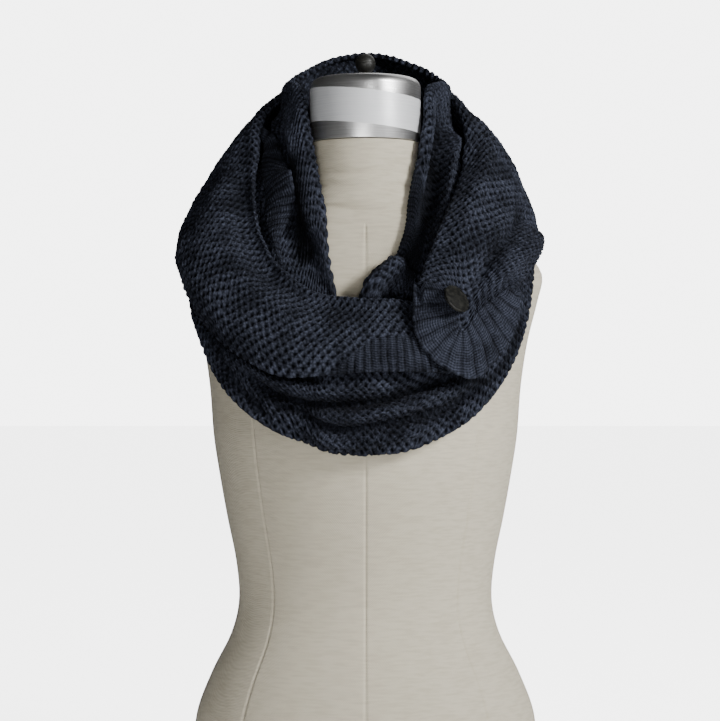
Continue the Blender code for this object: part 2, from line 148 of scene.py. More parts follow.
FIRST_TURN = (
    TurnSection(-165, (0.089, 0.789), (0.102, 0.748), (0.109, 0.7), (0.117, 0.64), (0.108, 0.564)),
    TurnSection(-140, (0.089, 0.773), (0.103, 0.738), (0.111, 0.69), (0.126, 0.632), (0.127, 0.56)),
    TurnSection(-115, (0.0855, 0.754), (0.098, 0.726), (0.107, 0.682), (0.132, 0.63), (0.153, 0.576)),
    TurnSection(-90, (0.069, 0.747), (0.088, 0.694), (0.108, 0.658), (0.144, 0.628), (0.174, 0.592)),
    TurnSection(-70, (0.0635, 0.722), (0.081, 0.65), (0.113, 0.61), (0.162, 0.578), (0.189, 0.534)),
    TurnSection(-50, (0.0625, 0.66), (0.089, 0.594), (0.13, 0.55), (0.174, 0.498), (0.187, 0.44)),
    TurnSection(-34, (0.0685, 0.606), (0.097, 0.556), (0.138, 0.508), (0.169, 0.452), (0.172, 0.398)),
    TurnSection(-22, (0.086, 0.545), (0.106, 0.522), (0.142, 0.482), (0.166, 0.436), (0.161, 0.382)),
    TurnSection(-12, (0.096, 0.506), (0.111, 0.494), (0.145, 0.468), (0.164, 0.426), (0.155, 0.371)),
    TurnSection(-2, (0.0955, 0.511), (0.112, 0.492), (0.145, 0.466), (0.163, 0.424), (0.153, 0.369)),
    TurnSection(4, (0.0925, 0.537), (0.111, 0.502), (0.142, 0.466), (0.161, 0.424), (0.153, 0.37)),
    TurnSection(12, (0.087, 0.552), (0.108, 0.514), (0.137, 0.469), (0.159, 0.425), (0.155, 0.372)),
    TurnSection(27, (0.074, 0.575), (0.099, 0.536), (0.127, 0.492), (0.157, 0.437), (0.161, 0.387)),
    TurnSection(45, (0.0635, 0.635), (0.087, 0.593), (0.119, 0.554), (0.157, 0.494), (0.176, 0.428)),
    TurnSection(65, (0.0635, 0.7), (0.077, 0.644), (0.111, 0.609), (0.157, 0.57), (0.18, 0.504)),
    TurnSection(90, (0.064, 0.744), (0.075, 0.692), (0.103, 0.658), (0.141, 0.624), (0.17, 0.588)),
    TurnSection(115, (0.087, 0.755), (0.099, 0.727), (0.107, 0.682), (0.132, 0.628), (0.152, 0.575)),
    TurnSection(140, (0.09, 0.774), (0.103, 0.738), (0.111, 0.69), (0.126, 0.632), (0.127, 0.562)),
    TurnSection(167, (0.089, 0.79), (0.102, 0.748), (0.109, 0.7), (0.117, 0.64), (0.108, 0.562)),
)

SECOND_TURN_LEFT = (
    DrapeSection(-119, (0.102, 0.738), (0.124, 0.722), (0.146, 0.684), (0.161, 0.64), (0.168, 0.59)),
    DrapeSection(-100, (0.105, 0.712), (0.124, 0.709), (0.147, 0.68), (0.17, 0.642), (0.186, 0.594)),
    DrapeSection(-85, (0.1082, 0.668), (0.125, 0.668), (0.156, 0.645), (0.185, 0.61), (0.195, 0.57)),
    DrapeSection(-72, (0.1152, 0.63), (0.129, 0.63), (0.166, 0.609), (0.198, 0.578), (0.197, 0.545)),
    DrapeSection(-58, (0.1201, 0.5835), (0.133, 0.583), (0.17, 0.561), (0.196, 0.531), (0.194, 0.502)),
    DrapeSection(-42, (0.1203, 0.549), (0.133, 0.545), (0.164, 0.523), (0.187, 0.492), (0.188, 0.467)),
    DrapeSection(-26, (0.1165, 0.526), (0.131, 0.522), (0.157, 0.501), (0.179, 0.47), (0.181, 0.446)),
    DrapeSection(-9, (0.1165, 0.519), (0.129, 0.515), (0.149, 0.497), (0.17, 0.47), (0.1745, 0.449)),
    DrapeSection(8, (0.1195, 0.518), (0.131, 0.514), (0.148, 0.496), (0.167, 0.47), (0.1715, 0.452)),
    DrapeSection(22, (0.126, 0.516), (0.138, 0.512), (0.151, 0.495), (0.166, 0.47), (0.1705, 0.451)),
    DrapeSection(36, (0.1335, 0.514), (0.145, 0.509), (0.154, 0.492), (0.166, 0.468), (0.17, 0.45)),
)

SECOND_TURN_BACK = (
    DrapeSection(118, (0.1014, 0.7385), (0.122, 0.725), (0.147, 0.69), (0.163, 0.644), (0.167, 0.588)),
    DrapeSection(140, (0.1049, 0.7542), (0.126, 0.742), (0.14, 0.7), (0.151, 0.65), (0.146, 0.586)),
    DrapeSection(165, (0.1045, 0.763), (0.124, 0.753), (0.133, 0.708), (0.141, 0.655), (0.132, 0.592)),
    DrapeSection(195, (0.1045, 0.763), (0.124, 0.753), (0.133, 0.708), (0.141, 0.652), (0.131, 0.58)),
    DrapeSection(220, (0.1035, 0.753), (0.126, 0.742), (0.14, 0.7), (0.15, 0.648), (0.145, 0.58)),
)

SECOND_TURN_RIGHT = (
    LapSection(
        (0.1, 0.018, 0.705), (0.122, 0.024, 0.709), (0.147, 0.03, 0.68),
        (0.166, 0.038, 0.64), (0.178, 0.044, 0.592),
    ),
    LapSection(
        (0.0985, -0.015, 0.662), (0.119, -0.015, 0.676), (0.145, -0.008, 0.662),
        (0.169, 0.0, 0.626), (0.183, 0.012, 0.586),
    ),
    LapSection(
        (0.0885, -0.053, 0.625), (0.106, -0.059, 0.636), (0.134, -0.058, 0.624),
        (0.16, -0.044, 0.606), (0.177, -0.022, 0.584),
    ),
    LapSection(
        (0.0735, -0.09, 0.592), (0.091, -0.099, 0.598), (0.118, -0.101, 0.588),
        (0.152, -0.085, 0.58), (0.176, -0.053, 0.567),
    ),
    LapSection(
        (0.0603, -0.114, 0.56), (0.0785, -0.125, 0.562), (0.102, -0.128, 0.543),
        (0.1335, -0.111, 0.553), (0.164, -0.08, 0.549),
    ),
    LapSection(
        (0.05, -0.135, 0.533), (0.0745, -0.145, 0.53), (0.0905, -0.149, 0.49),
        (0.1085, -0.14, 0.508), (0.1445, -0.116, 0.535),
    ),
)

END_FAN = (
    FanSection((0.0748, -0.1465, 0.5278), (0.0497, -0.1366, 0.53)),
    FanSection((0.0782, -0.1492, 0.512), (0.0462, -0.147, 0.509)),
    FanSection((0.0812, -0.1515, 0.501), (0.048, -0.156, 0.489)),
    FanSection((0.085, -0.1532, 0.4905), (0.06, -0.161, 0.4675)),
    FanSection((0.091, -0.1522, 0.4862), (0.0815, -0.16, 0.4515)),
    FanSection((0.0991, -0.1492, 0.4903), (0.1045, -0.152, 0.4445)),
    FanSection((0.1073, -0.1447, 0.4987), (0.1205, -0.142, 0.4565)),
    FanSection((0.1145, -0.138, 0.508), (0.1355, -0.131, 0.4735)),
    FanSection((0.126, -0.1305, 0.5145), (0.147, -0.119, 0.499)),
    FanSection((0.142, -0.12, 0.5258), (0.1524, -0.1091, 0.5268)),
)

EDGE_BAND_LEFT = (
    BandSection((-94.5, 0.62), (-95.5, 0.81)),
    BandSection((-87.0, 0.55), (-93.5, 0.86)),
    BandSection((-77.0, 0.53), (-91.0, 0.9)),
    BandSection((-69.0, 0.5), (-87.0, 0.9)),
    BandSection((-64.0, 0.45), (-82.5, 0.91)),
    BandSection((-61.5, 0.415), (-77.5, 0.91)),
    BandSection((-59.5, 0.44), (-72.5, 0.91)),
    BandSection((-57.8, 0.53), (-67.5, 0.9)),
    BandSection((-56.0, 0.65), (-62.0, 0.9)),
    BandSection((-53.0, 0.76), (-56.5, 0.885)),
    BandSection((-48.5, 0.8), (-51.0, 0.865)),
    BandSection((-45.0, 0.8), (-46.0, 0.85)),
)

FORM_LEVELS = (
    FormLevel(0.0, 0.16, 0.095, 0.108),
    FormLevel(0.045, 0.174, 0.104, 0.122),
    FormLevel(0.095, 0.174, 0.108, 0.124),
    FormLevel(0.14, 0.158, 0.103, 0.111),
    FormLevel(0.18, 0.138, 0.094, 0.092),
    FormLevel(0.215, 0.13, 0.091, 0.084),
    FormLevel(0.255, 0.133, 0.098, 0.085),
    FormLevel(0.3, 0.142, 0.112, 0.091),
    FormLevel(0.345, 0.15, 0.127, 0.097),
    FormLevel(0.385, 0.156, 0.133, 0.102),
    FormLevel(0.435, 0.16, 0.122, 0.105),
    FormLevel(0.48, 0.167, 0.102, 0.105),
    FormLevel(0.52, 0.177, 0.084, 0.102),
    FormLevel(0.548, 0.182, 0.072, 0.094),
    FormLevel(0.568, 0.166, 0.064, 0.085),
    FormLevel(0.585, 0.134, 0.058, 0.075),
    FormLevel(0.6, 0.102, 0.0555, 0.067),
    FormLevel(0.616, 0.076, 0.0548, 0.061),
    FormLevel(0.634, 0.061, 0.0546, 0.057),
    FormLevel(0.655, 0.056, 0.0548, 0.0555),
    FormLevel(0.683, 0.0555, 0.055, 0.0555),
)

LAP_TURNS = (30, 46, 62, 78, 92, 105)


def polar(turn: float, reach: float, height: float) -> Point:
    """The point at a turn angle in degrees, a reach from the neck's axis and a height."""
    angle = math.radians(turn)
    return (reach * math.sin(angle), -reach * math.cos(angle), height)


def unit(vectors: Array) -> Array:
    """The vectors at length 1."""
    return vectors / np.maximum(norm(vectors, axis=-1, keepdims=True), 1e-9)


def lengths_along(grid: Array, axis: int) -> Array:
    """Running length of each line of a grid, from row to row on axis 0, across on axis 1."""
    run = np.cumsum(norm(np.diff(grid, axis=axis), axis=2), axis=axis)
    return np.pad(run, ((1, 0), (0, 0)) if axis == 0 else ((0, 0), (1, 0)))


def directions_along(grid: Array, closed: bool = False) -> Array:
    """Unit directions of a grid of points from row to row."""
    round_it = np.roll(grid, -1, axis=0) - np.roll(grid, 1, axis=0)
    return unit(round_it if closed else np.gradient(grid, axis=0))


def normals_of(grid: Array, closed: bool = False) -> Array:
    """Unit normals of a grid whose rows run anticlockwise and whose columns run from the neck out."""
    return unit(np.cross(np.gradient(grid, axis=1), directions_along(grid, closed)))


def smooth(knots: Array, values: Array, at: Array, closed: bool = False) -> Array:
    """A smooth curve through values at knots.

    Args:
        knots: Places of the values, rising. A closed curve has one more, the length round.
        values: One value or point for each knot.
        at: Places to read the curve at.
        closed: Whether the last value joins the first.

    Returns:
        The curve's value or point at each place.
    """
    if closed:
        span = knots[-1]
        knots = np.concatenate([[knots[-2] - span], knots, [span + knots[1]]])
        values = np.concatenate([values[-1:], values, values[:2]])
    slopes = np.gradient(values, knots, axis=0, edge_order=1)
    index = np.clip(np.searchsorted(knots, at, side="right") - 1, 0, len(knots) - 2)
    step = knots[index + 1] - knots[index]
    share = (at - knots[index]) / step
    shape = (-1,) + (1,) * (values.ndim - 1)
    share, step = share.reshape(shape), step.reshape(shape)
    return (
        (2 * share**3 - 3 * share**2 + 1) * values[index]
        + (share**3 - 2 * share**2 + share) * step * slopes[index]
        + (3 * share**2 - 2 * share**3) * values[index + 1]
        + (share**3 - share**2) * step * slopes[index + 1]
    )


def blend_step(low: float, high: float, values: Array) -> Array:
    """0 below low, 1 above high, and a smooth rise between them."""
    share = np.clip((values - low) / (high - low), 0, 1)
    return share * share * (3 - 2 * share)


@dataclass
class Net:
    """A coarse grid of places on cloth, read anywhere as a smooth surface.

    Attributes:
        places: Rows along the strip, columns from its rolled edge out, and x, y, z.
        turns: The turn angle or section number that names each row.
        closed: Whether the last row joins the first.
        rolled: Whether the first columns are a rolled edge.
    """

    places: Array
    turns: Sequence[float]
    closed: bool = False
    rolled: bool = True

    def __post_init__(self) -> None:
        """Rolls the edge under and measures the knots both ways."""
        if self.rolled:
            self.places = self.with_rolled_edge()
        self.around = self.knots(0)
        self.out = self.knots(1)
        self.crown = len(ROLL_ANGLES) - 1 if self.rolled else 0

    def with_rolled_edge(self) -> Array:
        """The places with the first column turned under in a round roll.

        Returns:
            The places, with as many columns more as the roll needs.
        """
        normal = normals_of(self.places, self.closed)[:, 0]
        into = np.cross(directions_along(self.places, self.closed)[:, 0], normal)
        middle = self.places[:, 0] + ROLL_RADIUS * into
        roll = []
        for angle in np.radians(ROLL_ANGLES):
            roll.append(middle + ROLL_RADIUS * (math.sin(angle) * normal - math.cos(angle) * into))
        return np.concatenate([np.stack(roll, axis=1), self.places[:, 1:]], axis=1)

    def knots(self, axis: int) -> Array:
        """The mean distance from the first row or column to each of the others.

        Args:
            axis: 0 for the rows, 1 for the columns.

        Returns:
            The distances, and last the length round if the rows are closed.
        """
        steps = np.diff(self.places, axis=axis)
        if self.closed and axis == 0:
            steps = np.concatenate([steps, self.places[:1] - self.places[-1:]], axis=0)
        lengths = norm(steps, axis=2).mean(axis=1 - axis)
        return np.concatenate([[0.0], np.cumsum(lengths)])

    def at_turn(self, turn: float | Array) -> float | Array:
        """The knot place along the rows of a turn."""
        turns = [*self.turns, self.turns[0] + 360] if self.closed else list(self.turns)
        return np.interp(turn, turns, self.around)

    def at_column(self, column: float | Array) -> float | Array:
        """The knot place across of a column number, 0 at the crown of the rolled edge."""
        return np.interp(np.asarray(column) + self.crown, np.arange(len(self.out)), self.out)

    def surface(self, along: Array, across: Sequence[Array]) -> Array:
        """The points of the smooth surface at knot places along, and for each of them across."""
        rows = smooth(self.around, self.places, along, self.closed)
        return np.stack([smooth(self.out, row, places) for row, places in zip(rows, across)])

    def scattered(self, along: Array, across: Array) -> Array:
        """The points of the smooth surface at knot places that differ from point to point."""
        flat = self.surface(along.ravel(), across.reshape(-1, 1))
        return flat[:, 0].reshape(*along.shape, 3)

    def line(self, drawn: Sequence[Pair], steps: int = 6) -> Array:
        """A smooth line drawn on the surface.

        Args:
            drawn: Its places as (turn, column number) pairs.
            steps: How many steps there are from each place to the next.

        Returns:
            The points of the line.
        """
        marks = np.array(drawn, dtype=float)
        numbers = np.arange(len(marks), dtype=float)
        read = np.linspace(0, numbers[-1], steps * (len(marks) - 1) + 1)
        fine = smooth(numbers, marks, read)
        points = []
        for turn, column in fine:
            place = np.array([self.at_column(column)])
            points.append(self.surface(np.array([self.at_turn(turn)]), [place])[0, 0])
        return np.array(points)


@dataclass(frozen=True)
class Crease:
    """A soft ridge, or with a negative lift a trough, along a line drawn on the cloth.

    Attributes:
        line: Its places as (turn, column number) pairs.
        width: Half its width in metres.
        lift: Its height in metres.
        sharpness: 2 for a round crease, less for one that is creased along its middle.
        fade: Share of its length over which each end dies away.
        shadow: How much shade is painted on the cloth along its middle, 0 to 1.
    """

    line: tuple[Pair, ...]
    width: float
    lift: float
    sharpness: float = 2.0
    fade: float = 0.25
    shadow: float = 0.0


def creasing(grid: Array, net: Net, creases: Sequence[Crease]) -> tuple[Array, Array]:
    """How far creases drawn on a net lift a grid of points, and how much shade they paint on it.

    Args:
        grid: The points.
        net: The net that the creases are drawn on.
        creases: The ridges and troughs.

    Returns:
        The lift in metres at each point, and the painted shade from 0 to 1.
    """
    lift, shadow = np.zeros(grid.shape[:2]), np.zeros(grid.shape[:2])
    for crease in creases:
        line = net.line(crease.line)
        count = len(line) - 1
        low, high = line.min(axis=0) - 3 * crease.width, line.max(axis=0) + 3 * crease.width
        near = np.all((grid > low) & (grid < high), axis=2)
        points = grid[near]
        best, place = np.full(len(points), np.inf), np.zeros(len(points))
        for number in range(count):
            start, step = line[number], line[number + 1] - line[number]
            share = np.clip(((points - start) @ step) / (step @ step), 0, 1)
            distance = norm(points - start - share[:, None] * step, axis=1)
            closer = distance < best
            best = np.where(closer, distance, best)
            place = np.where(closer, (number + share) / count, place)
        form = blend_step(0, crease.fade, place) * blend_step(0, crease.fade, 1 - place)
        form = form * np.exp(-((best / crease.width) ** crease.sharpness))
        lift[near] += crease.lift * form
        shadow[near] = np.maximum(shadow[near], crease.shadow * form)
    return lift, shadow


@dataclass(frozen=True)
class Gauge:
    """The raised stitches of the knit, worked out from places in metres on the flat cloth.

    Attributes:
        width: Width of a stitch's repeat along the strip.
        height: Height of a stitch's repeat across it.
        rib_pitch: Distance from one rib to the next.
        relief: Depth of the open knit from its bumps to its holes.
        rib_relief: Depth of the ribs from their tops to their grooves.
        row_relief: Depth of the fine stitches along a rib.
        rib_power: How narrow the grooves are against the ribs' flat tops, smaller for narrower.
        slope: How much more the grooves run one way than the other, -0.5 to 0.5.
        slant: How far the holes lean.
        own_height: How much one stitch's height differs from the next one's.
        knot_depth: Depth of the hollows between a stitch's loops.
        waves: Sums of the two crossing waves of the stitches at which the height is given.
        heights: The heights there, from 0 in a hole to 1 on a bump.
        rib_own: How much the ribs' depth differs from place to place.
        rib_run: Length along a rib over which its depth is its own.
        row_pitch: Distance from one fine stitch along a rib to the next.
    """

    width: float = STITCH_WIDTH
    height: float = STITCH_HEIGHT
    rib_pitch: float = RIB_PITCH
    relief: float = 0.0038
    rib_relief: float = 0.0028
    row_relief: float = 0.0004
    rib_power: float = 0.65
    slope: float = 0.10
    slant: float = 0.16
    own_height: float = 0.20
    knot_depth: float = 0.24
    waves: tuple[float, ...] = (-1.1, -0.78, -0.40, 0.0, 0.75, 1.2)
    heights: tuple[float, ...] = (0, 0.12, 0.62, 0.84, 1.0, 0.9)
    rib_own: float = 0.45
    rib_run: float = 0.011
    row_pitch: float = 0.0031

    def mesh_stitch(self, u: Array, v: Array) -> Array:
        """Height of the open knit, no two stitches quite alike.

        Args:
            u: Places along the strip.
            v: Places across it.

        Returns:
            0 in the staggered holes to 1 on the bumps.
        """
        turn = 2 * math.pi
        rising = np.cos(turn * (u / self.width + v / self.height))
        falling = np.cos(turn * (u / self.width - v / self.height))
        wave = (0.5 + self.slope) * falling + (0.5 - self.slope) * rising
        slant = self.slant * np.sin(turn * (u / self.width + 2 * v / self.height))
        own = self.own_share(np.round(2 * u / self.width), np.round(2 * v / self.height))
        height = np.interp(wave + slant, self.waves, self.heights)
        knots = np.cos(2 * turn * u / self.width) * np.cos(2 * turn * v / self.height + 0.8)
        sunk = self.own_height * own + self.knot_depth * (0.5 - 0.5 * knots)
        return np.clip(height - sunk * blend_step(0.3, 0.8, height), 0, 1)

    def own_share(self, column: Array, row: Array) -> Array:
        """A number from 0 to 1 that each stitch has for itself."""
        mixed = np.sin(12.9898 * column + 78.233 * row) * 43758.5453
        return mixed - np.floor(mixed)

    def rib_stitch(self, u: Array) -> Array:
        """Height of the ribs, 0 in their grooves to 1 along their tops."""
        return np.abs(np.cos(math.pi * u / self.rib_pitch)) ** self.rib_power

    def lift(self, u: Array, v: Array, rib: Array) -> Array:
        """How far the stitches move the outer face, whose bumps stay where it is.

        Args:
            u: Places along the strip.
            v: Places across it.
            rib: Share of rib at each place.

        Returns:
            The move outwards in metres, 0 or less.
        """
        knit = (self.mesh_stitch(u, v) - 1) * self.relief
        own = self.own_share(np.round(u / self.rib_pitch), np.round(v / self.rib_run))
        ribs = (self.rib_stitch(u) - 1) * self.rib_relief * (1 - self.rib_own * own)
        ribs -= self.row_relief * (1 + np.sin(2 * math.pi * (v / self.row_pitch + u / self.rib_pitch))) / 2
        return (1 - rib) * knit + rib * ribs

    def depth(self, u: Array, v: Array, rib: Array) -> Array:
        """How deep the face is between the stitches, 0 on them to 1 in a hole or groove."""
        deepest = self.relief + rib * (self.rib_relief - self.relief)
        return np.clip(-self.lift(u, v, rib) / deepest, 0, 1)


@dataclass
class KnitShell:
    """A wall of knitted cloth whose outer face is a grid of points.

    Attributes:
        name: The piece's name.
        face: The outer face without its stitches, rows along the strip, columns from its edge out.
        u: Place of each point along the flat strip in metres.
        v: Place of each point across the flat strip in metres.
        rib: Share of rib at each point, 0 to 1.
        fold: How much shade is painted on each point along the creases' troughs, 0 to 1.
        gauge: The stitches.
        closed: Whether the last row joins the first.
        joins: The sides that meet another stretch and are cut square.
        undercut: How far a square side is cut in at its back.
        back_relief: Depth of the stitches on the inner face.
        rim_angles: Angles of the rounded rim in degrees.
        coarse: How many steps of the outer face one step of the hidden inner face takes.
    """

    name: str
    face: Array
    u: Array
    v: Array
    rib: Array
    fold: Array
    gauge: Gauge
    closed: bool = False
    joins: tuple[Side, ...] = ()
    undercut: float = JOIN_GAP / 2
    back_relief: float = 0.0008
    rim_angles: tuple[float, ...] = (0, 50, 95, 140)
    coarse: int = 2

    def indices(self, count: int, open_ends: bool) -> tuple[Array, Array]:
        """Row or column numbers with the rim's added.

        Args:
            count: How many rows or columns the face has.
            open_ends: Whether there is a rim at both ends.

        Returns:
            The numbers, and how far round the rim each is, negative at the first end.
        """
        rim = len(self.rim_angles) - 1 if open_ends else 0
        places = np.arange(-rim, count + rim)
        numbers = np.clip(places, 0, count - 1)
        return numbers, places - numbers

    def outer_points(self) -> tuple[Array, Array, Array]:
        """The outer face with its stitches and rounded rim.

        Returns:
            The points, and the row and column numbers of the face that each one came from.
        """
        normals = normals_of(self.face, self.closed)
        lift = self.gauge.lift(self.u, self.v, self.rib)
        raised = self.face + lift[..., None] * normals
        rows, row_rim = self.indices(self.face.shape[0], not self.closed)
        columns, column_rim = self.indices(self.face.shape[1], True)
        pick = np.ix_(rows, columns)
        level = np.maximum(np.abs(row_rim)[:, None], np.abs(column_rim)[None, :])
        angle = np.radians(np.array(self.rim_angles))[level]
        share = 1.0 / np.maximum(level, 1)
        half = (CLOTH_WALL + lift[pick]) / 2
        bulge = half * np.sin(angle)
        square_rows = self.squared(row_rim, Side.START, Side.END)[:, None]
        square_columns = self.squared(column_rim, Side.INNER, Side.OUTER)[None, :]
        cut_in = -self.undercut * (1 - np.cos(angle)) / 2
        along = row_rim[:, None] * share * np.where(square_rows, cut_in, bulge)
        across = column_rim[None, :] * share * np.where(square_columns, cut_in, bulge)
        sink = half * (1 - np.cos(angle))
        points = raised[pick] - sink[..., None] * normals[pick]
        points += along[..., None] * directions_along(self.face, self.closed)[pick]
        points += across[..., None] * unit(np.gradient(self.face, axis=1))[pick]
        return points, rows, columns

    def squared(self, rim: Array, first: Side, last: Side) -> Array:
        """Which rows or columns are in the rim of a side that is cut square, given their rim numbers."""
        return ((rim < 0) & (first in self.joins)) | ((rim > 0) & (last in self.joins))

    def cut_back(self, inner: Array, steps: int = 4) -> Array:
        """The inner face with its square sides cut in.

        Args:
            inner: The inner face's points.
            steps: How many rows or columns share the cut.

        Returns:
            The same points, moved.
        """
        along, across = directions_along(inner, self.closed), unit(np.gradient(inner, axis=1))
        down = np.clip(1 - np.arange(inner.shape[0]) / steps, 0, 1)[:, None, None] * self.undercut
        over = np.clip(1 - np.arange(inner.shape[1]) / steps, 0, 1)[None, :, None] * self.undercut
        cuts = {
            Side.START: down * along,
            Side.END: -down[::-1] * along,
            Side.INNER: over * across,
            Side.OUTER: -over[:, ::-1] * across,
        }
        return inner + sum((cuts[side] for side in self.joins), np.zeros_like(inner))

    def build(self) -> Object:
        """Makes the closed mesh of the wall.

        Returns:
            The piece, with its flat places as a UV map and its rib share as an attribute.
        """
        outer, rows, columns = self.outer_points()
        normals = normals_of(self.face, self.closed)
        back = self.gauge.mesh_stitch(self.u, self.v) * self.back_relief * (1 - self.rib)
        inner_face = self.face - (CLOTH_WALL - back)[..., None] * normals
        row_picks = np.arange(0, self.face.shape[0], self.coarse)
        column_picks = np.arange(0, self.face.shape[1], self.coarse)
        inner = self.cut_back(inner_face[np.ix_(row_picks, column_picks)])
        first = outer.shape[0] * outer.shape[1]
        faces = self.grid_faces(*outer.shape[:2], 0, False)
        faces += self.grid_faces(*inner.shape[:2], first, True)
        faces += self.rim_faces(outer.shape, inner.shape, first)
        mesh = bpy.data.meshes.new(self.name)
        points = np.concatenate([outer.reshape(-1, 3), inner.reshape(-1, 3)])
        mesh.from_pydata(points.tolist(), [], faces)
        self.add_places(mesh, np.ix_(rows, columns), np.ix_(row_picks, column_picks))
        mesh.shade_smooth()
        piece = bpy.data.objects.new(self.name, mesh)
        bpy.context.scene.collection.objects.link(piece)
        LOG.info("%s: %d faces", self.name, len(faces))
        return piece

    def grid_faces(self, rows: int, columns: int, first: int, inward: bool) -> list[tuple[int, ...]]:
        """Faces of a grid of points.

        Args:
            rows: How many rows it has.
            columns: How many columns it has.
            first: Number of its first point.
            inward: Whether the faces look the other way.

        Returns:
            The faces as point numbers.
        """
        numbers = first + np.arange(rows * columns).reshape(rows, columns)
        if self.closed:
            numbers = np.concatenate([numbers, numbers[:1]])
        corners = [numbers[:-1, :-1], numbers[:-1, 1:], numbers[1:, 1:], numbers[1:, :-1]]
        if inward:
            corners.reverse()
        return list(map(tuple, np.stack(corners, axis=-1).reshape(-1, 4).tolist()))

    def rim_faces(self, outer: Sequence[int], inner: Sequence[int], first: int) -> list[tuple[int, ...]]:
        """Faces that join the rim of the outer grid to the coarser inner one.

        Args:
            outer: Shape of the outer grid.
            inner: Shape of the inner grid.
            first: Number of the inner grid's first point.

        Returns:
            The faces as point numbers.
        """
        fine = np.arange(outer[0] * outer[1]).reshape(outer[:2])
        plain = first + np.arange(inner[0] * inner[1]).reshape(inner[:2])
        rim = len(self.rim_angles) - 1

        def partner(count: int, plain_count: int, open_ends: bool) -> Array:
            """Row or column of the inner grid that each one of the outer grid meets."""
            inside = np.arange(count) - (rim if open_ends else 0)
            return np.clip((inside + self.coarse // 2) // self.coarse, 0, plain_count - 1)

        sides = []
        along = partner(outer[0], inner[0], not self.closed)
        for column, forward in ((0, True), (-1, False)):
            edge, match = fine[:, column], plain[along, column]
            if self.closed:
                edge, match = np.append(edge, edge[0]), np.append(match, match[0])
            sides.append((edge, match, forward))
        if not self.closed:
            across = partner(outer[1], inner[1], True)
            for row, forward in ((0, False), (-1, True)):
                sides.append((fine[row], plain[row][across], forward))
        faces = []
        for edge, match, forward in sides:
            for one, two, near, far in zip(edge[:-1], edge[1:], match[:-1], match[1:]):
                face = [int(one), int(two), int(far), int(near)]
                if near == far:
                    face.pop()
                faces.append(tuple(face if forward else reversed(face)))
        return faces

    def add_places(self, mesh: Mesh, outer: tuple, inner: tuple) -> None:
        """Writes the flat places as a UV map, and as attributes the shares of rib, of painted shade along
        the creases, and of hole depth, which paints shade in the holes.

        Args:
            mesh: The mesh of the wall.
            outer: Row and column picks of the outer grid.
            inner: Row and column picks of the inner grid.
        """
        grids = (self.u, self.v, self.rib, self.fold)
        u, v, rib, fold = (np.concatenate([grid[outer].ravel(), grid[inner].ravel()]) for grid in grids)
        depth = self.gauge.depth(self.u, self.v, self.rib)
        # The hole share paints shade in the holes of the outer face; on the inner face it is turned round.
        sunk = np.concatenate([depth[outer].ravel(), 1 - depth[inner].ravel()])
        corners = np.empty(len(mesh.loops), dtype=np.int32)
        mesh.loops.foreach_get("vertex_index", corners)
        places = np.stack([u, v], axis=1)[corners]
        mesh.uv_layers.new(name="cloth").data.foreach_set("uv", places.astype(np.float32).ravel())
        for name, values in (("rib", rib), ("fold", fold), ("sunk", sunk)):
            share = mesh.attributes.new(name, "FLOAT", "POINT")
            share.data.foreach_set("value", values.astype(np.float32))


# A crease's sixth number, where it has one, is the shade painted along its middle.
COLLAR_CREASES = (
    Crease(((112, 1.5), (100, 1.5), (90, 1.5), (76, 1.45), (62, 1.42), (46, 1.45), (36, 1.55)), 0.01, 0.016),
    # The groove beside the collar's ribbed inner band, with painted shade along it.
    Crease(
        ((104, 1.0), (90, 1.0), (76, 1.0), (62, 1.0), (48, 1.0), (38, 1.05)),
        0.0095, -0.009, 1.8, 0.25, 0.85,
    ),
    # Painted shadow in the dark pocket between the turned-in edge band and the roll beside the neck; the
    # cloth dips there by only 1 mm.
    Crease(
        ((-76, 0.92), (-66, 0.74), (-60, 0.64), (-54, 0.68), (-47, 0.84), (-40, 1.02), (-34, 1.1)),
        0.0125, -0.001, 2.4, 0.15, 1.0,
    ),
    Crease(((-112, 1.3), (-100, 1.2), (-92, 1.3)), 0.01, 0.007),
    Crease(((-66, 1.0), (-58, 1.12), (-50, 1.25), (-42, 1.25), (-36, 1.2)), 0.009, -0.005, 1.6, 0.3),
    Crease(((-88, 0.5), (-72, 0.55), (-56, 0.6), (-42, 0.6), (-32, 0.55)), 0.009, 0.008),
    Crease(((-3, 0.05), (2, 0.0), (8, 0.0), (14, 0.05), (21, 0.1)), 0.01, 0.0095, 2.0, 0.2),
    Crease(((20, -0.3), (24, 0.1), (28, 0.6), (34, 1.1)), 0.0045, -0.007, 1.4, 0.1),
    Crease(((-4, 0.95), (4, 0.85), (12, 0.8), (21, 0.85)), 0.0045, -0.006, 1.4),
)
